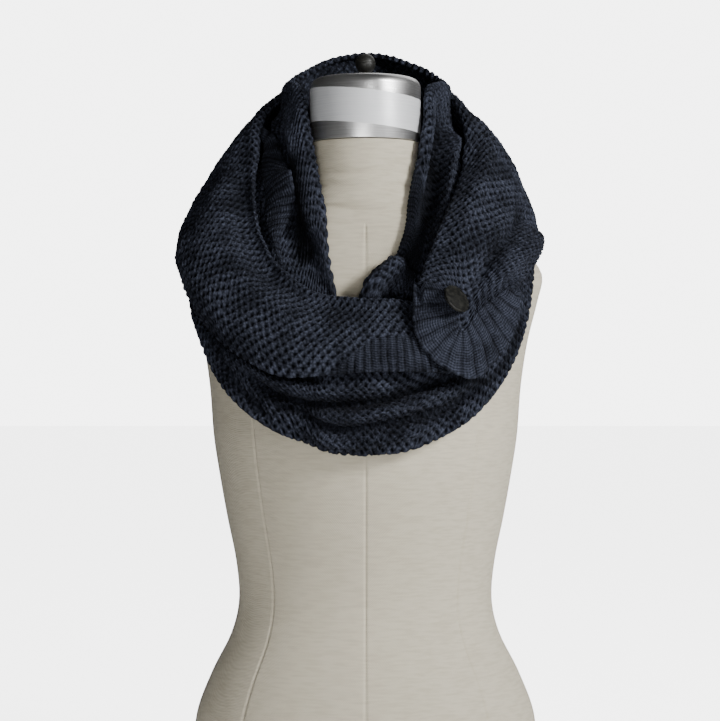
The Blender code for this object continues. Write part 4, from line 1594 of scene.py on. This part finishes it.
@dataclass(frozen=True)
class MetalFinish:
    """Metal with level streaks and slow clouds in its gloss."""

    name: str
    colour: Colour
    dull: Colour
    roughness: float
    metallic: float = 1.0
    scale: float = 1.0

    def material(self) -> Material:
        """Builds the metal.

        Returns:
            Its material.
        """
        board = FinishBoard(self.name)
        streaks = GROUPS.place(board, Effect.STREAKS, Place=board.place(), Scale=self.scale)
        cloud = board.plus(streaks["Streak"], streaks["Cloud"])
        return board.finished(
            Base_Color=board.mix(board.ramp(streaks["Streak"], 0.3, 0.7), self.colour, self.dull),
            Roughness=board.ramp(cloud, 0.7, 1.3, self.roughness - 0.07, self.roughness + 0.09),
            Metallic=self.metallic,
            Normal=board.bump(streaks["Streak"], 0.00008, 0.5),
        )


@dataclass(frozen=True)
class RubberFinish:
    """Dark moulded rubber, dusty here and there."""

    name: str = "knob_rubber"
    colour: Colour = (0.009, 0.009, 0.0075, 1.0)
    dust: Colour = (0.021, 0.02, 0.017, 1.0)

    def material(self) -> Material:
        """Builds the rubber.

        Returns:
            Its material.
        """
        board = FinishBoard(self.name)
        fuzz = GROUPS.place(board, Effect.FUZZ, Place=board.place())
        return board.finished(
            Base_Color=board.mix(board.ramp(fuzz["Tone"], 0.8, 1.3), self.colour, self.dust),
            Roughness=board.ramp(fuzz["Fluff"], 0.3, 0.7, 0.42, 0.6),
            Normal=board.bump(fuzz["Fluff"], 0.00015, 0.4),
        )


@dataclass(frozen=True)
class HornFinish:
    """Dark streaked horn with a soft polish."""

    name: str = "button_horn"
    colour: Colour = (0.003, 0.0031, 0.0027, 1.0)
    streak: Colour = (0.018, 0.018, 0.015, 1.0)

    def material(self) -> Material:
        """Builds the horn.

        Returns:
            Its material.
        """
        board = FinishBoard(self.name)
        grain = board.noise(board.stretched(board.place(), (90, 420, 420)), 1.0, 4.0)
        speck = board.times(board.noise(board.place(), 700.0), 0.3)
        return board.finished(
            Base_Color=board.mix(board.ramp(board.plus(grain, speck), 0.5, 0.86), self.colour, self.streak),
            Roughness=board.ramp(grain, 0.3, 0.7, 0.42, 0.56),
            Specular_IOR_Level=0.2,
            Coat_Weight=0.05,
            Coat_Roughness=0.35,
            Normal=board.bump(grain, 0.0001, 0.5),
        )


@dataclass(frozen=True)
class PaperFinish:
    """Pale paper of the studio's floor, lit so that it looks as pale as what is beyond it."""

    name: str = "studio_paper"
    colour: Colour = (0.90, 0.90, 0.90, 1.0)
    grain: Colour = (0.86, 0.86, 0.86, 1.0)
    glow: float = 4.5

    def material(self) -> Material:
        """Builds the paper.

        Returns:
            Its material.
        """
        board = FinishBoard(self.name)
        cloud = board.noise(board.place(), 3.0)
        seen = board.node("ShaderNodeLightPath", {}).outputs["Is Camera Ray"]
        return board.finished(
            Base_Color=board.mix(board.ramp(cloud, 0.3, 0.7), self.colour, self.grain),
            Roughness=board.ramp(cloud, 0.3, 0.7, 0.85, 0.95),
            Emission_Color=(1.0, 1.0, 1.0, 1.0),
            Emission_Strength=board.times(seen, self.glow),
        )


class Wardrobe:
    """Every material of the object, built once."""

    def __init__(self) -> None:
        """Builds the materials."""
        # The rib shade tones paint shade on the ribbed stretches, darkest on the collar's ribbed inner band.
        self.yarn = YarnFinish(rib_shade_tone=0.62).material()
        self.inner_yarn = YarnFinish("navy_inner_yarn", rib_pitch=INNER_RIB_PITCH, rib_shade_tone=0.4).material()
        self.fan_yarn = YarnFinish("navy_rib_yarn", rib_pitch=FAN_RIB_PITCH, rib_shade_tone=0.72).material()
        self.canvas = CanvasFinish().material()
        steel, worn = (0.60, 0.60, 0.60, 1.0), (0.46, 0.455, 0.45, 1.0)
        self.steel = MetalFinish("cap_steel", steel, worn, roughness=0.34, metallic=0.95).material()
        pale, paler = (0.78, 0.79, 0.80, 1.0), (0.70, 0.71, 0.73, 1.0)
        self.tin = MetalFinish("band_tin", pale, paler, roughness=0.42, metallic=0.25).material()
        brass, dull = (0.72, 0.52, 0.24, 1.0), (0.55, 0.39, 0.17, 1.0)
        self.brass = MetalFinish("stem_brass", brass, dull, roughness=0.3, scale=2.0).material()
        self.rubber = RubberFinish().material()
        self.horn = HornFinish().material()


def deselect_all() -> None:
    """Leaves nothing selected, so that the next operator acts on its own piece only."""
    if bpy.context.object and bpy.context.object.mode != "OBJECT":
        bpy.ops.object.mode_set(mode="OBJECT")
    bpy.ops.object.select_all(action="DESELECT")


def select_faces(piece: Object, wanted: Callable[[MeshPolygon], bool]) -> None:
    """Selects in edit mode the faces that pass a test on their place or normal.

    Args:
        piece: The piece.
        wanted: The test.
    """
    bpy.ops.object.mode_set(mode="EDIT")
    bpy.ops.mesh.select_mode(type="FACE")
    bpy.ops.mesh.select_all(action="DESELECT")
    bpy.ops.object.mode_set(mode="OBJECT")
    for face in piece.data.polygons:
        face.select = wanted(face)
    bpy.ops.object.mode_set(mode="EDIT")


def take_new(name: str) -> Object:
    """The primitive just added, with its own name and its mesh's."""
    bpy.context.object.name = bpy.context.object.data.name = name
    return bpy.context.object


def add_drum(name: str, sides: int, radius: float, depth: float, place: Point, **more: object) -> Object:
    """Adds a cylinder.

    Args:
        name: Its name.
        sides: Points round it.
        radius: Its radius.
        depth: Its height.
        place: Its middle.
        more: Any other settings of the operator.

    Returns:
        Its object.
    """
    deselect_all()
    bpy.ops.mesh.primitive_cylinder_add(vertices=sides, radius=radius, depth=depth, location=place, **more)
    return take_new(name)


def rise_of(node: str) -> tuple[float, float, float]:
    """The foot, the height and the middle height of a solid, by its name."""
    low, high = (Vector(corner).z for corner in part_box(node))
    return low, high - low, (low + high) / 2


def settle_hard(
    piece: Object, nodes: Sequence[str], material: Material, angle: float = 30.0
) -> None:
    """Finishes a hard piece: place into its mesh, smooth faces, material, body and solids.

    Args:
        piece: The piece.
        nodes: The solids that it replaces.
        material: Its material.
        angle: Edges sharper than this many degrees stay sharp.
    """
    deselect_all()
    piece.select_set(True)
    bpy.context.view_layer.objects.active = piece
    bpy.ops.object.transform_apply(location=True, rotation=True, scale=True)
    bpy.ops.object.shade_smooth_by_angle(angle=math.radians(angle))
    piece.data.materials.clear()
    piece.data.materials.append(material)
    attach(piece, "root")
    if nodes:
        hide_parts(*nodes)
    LOG.info("%s: %d faces", piece.name, len(piece.data.polygons))


@dataclass
class DressForm:
    """The form's body and neck, closed and flat underneath, in canvas panels sewn together.

    Attributes:
        canvas: Its material.
        sides: Points round it.
        body_step: Height from one level of its body mesh to the next.
        neck_step: The same on the neck.
        neck_from: Height at which the finer levels start.
        panels: Number of sewn panels round the body.
        gathering: How far its points are drawn towards the seams, 0 to 1.
        seam_depth: Depth of a sewn seam.
        seam_width: Half the width of a sewn seam.
        seam_radius: Radius of the body on which the seams' width is measured.
        neck_seam: Height of the neck seam at the front, and how much higher it is at the sides.
        neck_seam_share: Depth of the neck seam against the others.
        flat_foot: Height up to which the underside's rim is plain.
        wrinkles: Height, half width and lift of each soft wrinkle on the neck.
        wrinkle_rise: How much higher the wrinkles are at the sides.
        wrinkle_sway: How far they sway on their way round.
    """

    canvas: Material
    sides: int = 256
    body_step: float = 0.0075
    neck_step: float = 0.0016
    neck_from: float = 0.556
    panels: int = 8
    gathering: float = 0.72
    seam_depth: float = 0.0011
    seam_width: float = 0.0013
    seam_radius: float = 0.15
    neck_seam: Pair = (0.597, 0.012)
    neck_seam_share: float = 0.8
    flat_foot: float = 0.002
    wrinkles: tuple[tuple[float, float, float], ...] = (
        (0.664, 0.0022, -0.0005), (0.657, 0.003, 0.0006), (0.648, 0.0028, -0.0016),
        (0.641, 0.003, 0.001), (0.633, 0.0032, -0.002), (0.625, 0.003, 0.0009),
        (0.6185, 0.0022, 0.0008), (0.611, 0.0036, -0.0026), (0.603, 0.0028, 0.0008),
    )
    wrinkle_rise: float = 0.007
    wrinkle_sway: float = 0.0016

    def add_blank(self) -> Object:
        """A closed blank extruded from a disc, its levels closer together on the neck.

        Returns:
            The blank.
        """
        body = places_between(0, self.neck_from, self.body_step)
        neck = places_between(self.neck_from, FORM_LEVELS[-1].height, self.neck_step)
        deselect_all()
        bpy.ops.mesh.primitive_circle_add(vertices=self.sides, radius=0.1, fill_type="NGON")
        blank = take_new("form_canvas_body")
        bpy.ops.object.mode_set(mode="EDIT")
        bpy.ops.mesh.select_all(action="SELECT")
        for rise in np.diff(np.concatenate([body[:-1], neck])):
            bpy.ops.mesh.extrude_region_move(TRANSFORM_OT_translate={"value": (0, 0, float(rise))})
        bpy.ops.mesh.select_mode(type="VERT")
        bpy.ops.mesh.select_all(action="DESELECT")
        bpy.ops.mesh.select_non_manifold()
        bpy.ops.mesh.edge_face_add()
        bpy.ops.mesh.select_all(action="SELECT")
        bpy.ops.mesh.normals_make_consistent(inside=False)
        bpy.ops.object.mode_set(mode="OBJECT")
        return blank

    def shaped(self, points: Array) -> Array:
        """The blank's points moved to the form's sections, seams and wrinkles.

        Args:
            points: The blank's points.

        Returns:
            The form's points.
        """
        angle = np.arctan2(points[:, 1], points[:, 0])
        angle = angle - self.gathering * np.sin(self.panels * angle) / self.panels
        height = points[:, 2]
        sizes = np.array(FORM_LEVELS)
        knots = np.arange(len(sizes), dtype=float)
        fine = smooth(knots, sizes, np.linspace(0, knots[-1], 400))
        half_width, front, back = (np.interp(height, fine[:, 0], fine[:, row]) for row in (1, 2, 3))
        side, fore = np.cos(angle), np.sin(angle)
        depth = np.where(fore > 0, back, front)
        sunk = self.seams(angle, height) - self.neck_wrinkles(fore, side, height)
        sunk = np.where(height > self.flat_foot, sunk, 0)
        return np.stack([(half_width - sunk) * side, (depth - sunk) * fore, height], axis=1)

    def seams(self, angle: Array, height: Array) -> Array:
        """How deep the sewn seams are.

        Args:
            angle: Angles round the form.
            height: Heights.

        Returns:
            The depth at each place.
        """
        section = 2 * math.pi / self.panels
        away = np.abs((angle + section / 2) % section - section / 2) * self.seam_radius
        upright = np.exp(-((away / self.seam_width) ** 2))
        seam = self.neck_seam[0] + self.neck_seam[1] * np.cos(angle) ** 2
        upright = upright * (1 - blend_step(-0.001, 0.001, height - seam))
        level = np.exp(-(((height - seam) / self.seam_width) ** 2))
        return self.seam_depth * np.maximum(upright, self.neck_seam_share * level)

    def neck_wrinkles(self, fore: Array, side: Array, height: Array) -> Array:
        """Lift of the soft wrinkles of the neck, lowest at the front and higher at the sides.

        Args:
            fore: How far back each point is, -1 to 1.
            side: How far towards +X it is, -1 to 1.
            height: Its height.

        Returns:
            The lift of each.
        """
        lift = np.zeros(len(height))
        for number, (level, width, rise) in enumerate(self.wrinkles):
            sway = self.wrinkle_sway * np.sin(5 * side + 1.9 * number) * fore
            line = level + self.wrinkle_rise * side**2 + sway
            fades = 0.65 + 0.35 * np.sin(3.1 * side + 1.3 * number)
            lift += rise * fades * np.exp(-(((height - line) / width) ** 2))
        return lift

    def build(self) -> None:
        """Makes the form and dresses it in canvas."""
        form = self.add_blank()
        points = np.empty(len(form.data.vertices) * 3, dtype=np.float32)
        form.data.vertices.foreach_get("co", points)
        shaped = self.shaped(points.reshape(-1, 3).astype(float))
        form.data.vertices.foreach_set("co", shaped.astype(np.float32).ravel())
        form.data.update()
        settle_hard(form, ["form_body"], self.canvas, 50.0)


@dataclass
class NeckCap:
    """The brushed metal cap on the neck, with its plain pale band, stem and knob.

    Attributes:
        wardrobe: The materials.
        radius: Radius of the cap.
        shoulder: Radius of its rounded upper edge.
        foot: Size of its lower edge.
        seat_inset: Distance from the shoulder in to the dish under the stem.
        dish_wall: Width of the dish's wall.
        dish_depth: Its depth.
        dish_edge: Width of the ring at its foot.
        band_height: Height of the band round the front of the cap.
        band_middle: Height of the band's middle above the middle of the cap.
        band_fall: How much lower the band is for each metre towards +X.
        band_back: How far back the band reaches.
        band_gap: How far it stands off the cap.
        band_wall: Thickness of the band.
        sides: Points round the cap and its band.
        stem_radius: Radius of the stem.
        stem_edge: Radius of the rounding at its ends.
        foot_height: Height of the stem's foot.
        foot_step: How much wider the foot is than the stem.
        knob_line: Width and depth of the moulding line round the knob.
        knob_seat: Width and depth of the line round the knob's foot.
        knob_sides: Points round the stem and the knob.
    """

    wardrobe: Wardrobe
    radius: float = 0.057
    shoulder: float = 0.0095
    foot: float = 0.0008
    seat_inset: float = 0.034
    dish_wall: float = 0.0012
    dish_depth: float = 0.0006
    dish_edge: float = 0.0004
    band_height: float = 0.0345
    band_middle: float = -0.0015
    band_fall: float = 0.105
    band_back: float = 0.012
    band_gap: float = 0.0001
    band_wall: float = 0.0003
    sides: int = 160
    stem_radius: float = 0.0024
    stem_edge: float = 0.0004
    foot_height: float = 0.0022
    foot_step: float = 0.0005
    knob_line: Pair = (0.0003, 0.0002)
    knob_seat: Pair = (0.0004, 0.0001)
    knob_sides: int = 48

    def cap(self) -> None:
        """Models the cap: a drum with a round shoulder and a shallow dish under the stem."""
        _, height, middle = rise_of("neck_cap")
        cap = add_drum("form_neck_cap", self.sides, self.radius, height, (0, 0, middle))
        select_faces(cap, lambda face: face.normal.z > 0.9 and face.center.z > 0.45 * height)
        bpy.ops.mesh.bevel(offset=self.shoulder, segments=9, affect="EDGES")
        select_faces(cap, lambda face: face.normal.z < -0.9)
        bpy.ops.mesh.bevel(offset=self.foot, segments=2, affect="EDGES")
        select_faces(cap, lambda face: face.normal.z > 0.999)
        bpy.ops.mesh.inset(thickness=self.seat_inset)
        bpy.ops.mesh.inset(thickness=self.dish_wall, depth=-self.dish_depth)
        bpy.ops.mesh.inset(thickness=self.dish_edge)
        settle_hard(cap, ["neck_cap"], self.wardrobe.steel)

    def band(self) -> None:
        """Models the plain band that is wrapped round the front of the cap, lower towards +X."""
        place = (0, 0, rise_of("neck_cap")[2] + self.band_middle)
        radius = self.radius + self.band_gap
        sizes = (self.sides, radius, self.band_height, place)
        band = add_drum("form_cap_band", *sizes, end_fill_type="NOTHING")
        select_faces(band, lambda face: face.center.y > self.band_back)
        bpy.ops.mesh.delete(type="FACE")
        bpy.ops.object.mode_set(mode="OBJECT")
        for point in band.data.vertices:
            point.co.z -= self.band_fall * point.co.x
        wall = band.modifiers.new("Wall", "SOLIDIFY")
        wall.thickness = self.band_wall
        wall.offset = 1.0
        bpy.ops.object.modifier_apply(modifier=wall.name)
        settle_hard(band, [], self.wardrobe.tin)

    def stem(self) -> None:
        """Models the stem with a wider round foot where it enters the cap."""
        low, height, middle = rise_of("knob_stem")
        stem = add_drum("form_knob_stem", self.knob_sides, self.stem_radius, height, (0, 0, middle))
        select_faces(stem, lambda face: abs(face.normal.z) > 0.9)
        bpy.ops.mesh.bevel(offset=self.stem_edge, segments=3, affect="EDGES")
        bpy.ops.mesh.select_all(action="SELECT")
        bpy.ops.mesh.bisect(plane_co=(0, 0, low + self.foot_height), plane_no=(0, 0, 1))
        foot_top = low + self.foot_height - middle
        select_faces(stem, lambda face: abs(face.normal.z) < 0.1 and face.center.z < foot_top)
        bpy.ops.mesh.extrude_region_shrink_fatten(TRANSFORM_OT_shrink_fatten={"value": self.foot_step})
        settle_hard(stem, ["knob_stem"], self.wardrobe.brass)

    def knob(self) -> None:
        """Models the round knob with a moulding line round its middle."""
        _, height, middle = rise_of("cap_knob")
        radius = height / 2
        deselect_all()
        bpy.ops.mesh.primitive_uv_sphere_add(
            segments=self.knob_sides, ring_count=32, radius=radius, location=(0, 0, middle)
        )
        knob = take_new("form_cap_knob")
        select_faces(knob, lambda face: 0 < face.center.z < radius * 0.12)
        bpy.ops.mesh.inset(thickness=self.knob_line[0], depth=-self.knob_line[1])
        select_faces(knob, lambda face: face.center.z < -0.97 * radius)
        bpy.ops.mesh.inset(thickness=self.knob_seat[0], depth=-self.knob_seat[1])
        settle_hard(knob, ["cap_knob"], self.wardrobe.rubber, 40.0)


@dataclass
class HornButton:
    """The round domed horn button, sewn through a shank that doesn't show.

    Attributes:
        horn: Its material.
        place: Its middle.
        face: Direction that it faces.
        radius: Its radius.
        thickness: Its thickness at the rim.
        rim: Radius of the rim's rounding.
        step: Width and depth of the fine step inside the rim.
        dome: How far its middle stands above its rim.
        rings: Number of rings that make the dome.
        ring: Width of each.
    """

    horn: Material
    place: Point = (0.0866, -0.1512, 0.5188)
    face: Point = (0.61, -0.60, 0.51)
    radius: float = 0.0148
    thickness: float = 0.0032
    rim: float = 0.0011
    step: Pair = (0.0009, 0.00025)
    dome: float = 0.0012
    rings: int = 5
    ring: float = 0.0021

    def build(self) -> None:
        """Models the button: a disc with a rounded rim, a fine step inside it and a low dome."""
        turned = Vector((0, 0, 1)).rotation_difference(Vector(self.face)).to_euler()
        disc = add_drum("scarf_button", 96, self.radius, self.thickness, self.place, rotation=turned)
        select_faces(disc, lambda face: abs(face.normal.z) > 0.9)
        bpy.ops.mesh.bevel(offset=self.rim, segments=5, affect="EDGES")
        select_faces(disc, lambda face: face.normal.z > 0.999)
        bpy.ops.mesh.inset(thickness=self.step[0], depth=-self.step[1])
        whole = self.rings * (self.rings + 1) / 2
        for left in range(self.rings, 0, -1):
            bpy.ops.mesh.inset(thickness=self.ring, depth=self.dome * left / whole)
        settle_hard(disc, ["button"], self.horn)


class Lamp(NamedTuple):
    """A square soft light: its place, the length of its sides and its watts."""

    name: str
    place: Point
    size: float
    power: float


@dataclass
class Studio:
    """Pale level floor, pale surroundings, soft lights and the camera.

    Attributes:
        eye: Place of the camera, which looks along +Y.
        lens: Focal length in millimetres.
        sensor: Width of the camera's sensor in millimetres.
        reach: How far the floor goes to each side.
        surroundings: Brightness of what is seen beyond the floor.
        sky_light: Brightness of the even light from all round.
        aim: What the lights look at.
        lamps: The lights.
    """

    eye: Point = (-0.0055, -2.06, 0.46)
    lens: float = 100.0
    sensor: float = 36.0
    reach: float = 12.0
    surroundings: float = 5.4
    sky_light: float = 0.035
    aim: Point = (0, 0, 0.55)
    lamps: tuple[Lamp, ...] = (
        Lamp("key_light", (1.95, -1.6, 1.55), 0.7, 95.0),
        Lamp("low_light", (-0.15, -1.7, 0.06), 0.8, 17.0),
        Lamp("front_light", (0.45, -2.3, 1.05), 0.25, 4.0),
        Lamp("back_light", (0.6, 1.4, 2.0), 1.2, 9.0),
    )

    def camera(self) -> None:
        """Places the camera."""
        data = bpy.data.cameras.new("camera")
        data.lens = self.lens
        data.sensor_width = self.sensor
        data.sensor_fit = "HORIZONTAL"
        camera = bpy.data.objects.new("camera", data)
        camera.location = self.eye
        camera.rotation_euler = (math.pi / 2, 0, 0)
        bpy.context.scene.collection.objects.link(camera)
        bpy.context.scene.camera = camera

    def floor(self) -> None:
        """Makes the wide level floor."""
        deselect_all()
        bpy.ops.mesh.primitive_plane_add(size=2 * self.reach)
        floor = take_new("studio_floor")
        floor.data.materials.append(PaperFinish().material())

    def light(self, lamp: Lamp) -> None:
        """Sets up a light.

        Args:
            lamp: Its name, place, size and power.
        """
        data = bpy.data.lights.new(lamp.name, "AREA")
        data.shape = "SQUARE"
        data.size = lamp.size
        data.energy = lamp.power
        light = bpy.data.objects.new(lamp.name, data)
        light.location = lamp.place
        aim = Vector(self.aim) - Vector(lamp.place)
        light.rotation_euler = aim.to_track_quat("-Z", "Y").to_euler()
        light.visible_camera = False
        bpy.context.scene.collection.objects.link(light)

    def sky(self) -> None:
        """Sets up even pale light from all round, and white beyond the floor."""
        world = bpy.data.worlds.new("studio_sky")
        world.use_nodes = True
        board = Board(world.node_tree)
        background = world.node_tree.nodes["Background"]
        background.inputs["Color"].default_value = (1.0, 1.0, 1.0, 1.0)
        seen = board.node("ShaderNodeLightPath", {}).outputs["Is Camera Ray"]
        strength = board.ramp(seen, 0.0, 1.0, self.sky_light, self.surroundings)
        board.feed(background.inputs["Strength"], strength)
        bpy.context.scene.world = world

    def build(self) -> None:
        """Sets up the studio."""
        self.camera()
        self.floor()
        self.sky()
        for lamp in self.lamps:
            self.light(lamp)


def main() -> None:
    """Builds the studio, the form and the scarf, in that order."""
    logging.basicConfig(level=logging.INFO, format="%(name)s: %(message)s")
    Studio().build()
    wardrobe = Wardrobe()
    DressForm(wardrobe.canvas).build()
    cap = NeckCap(wardrobe)
    cap.cap()
    cap.band()
    cap.stem()
    cap.knob()
    first = FirstTurn(wardrobe.inner_yarn, wardrobe.yarn)
    first.collar()
    first.wrap()
    EdgeBand(first.net, wardrobe.fan_yarn).build()
    second = SecondTurn(wardrobe.yarn)
    second.lap()
    second.back()
    second.drape()
    EndBand(second.lap_end, wardrobe.fan_yarn).build()
    HornButton(wardrobe.horn).build()


if __name__ == "__main__":
    main()
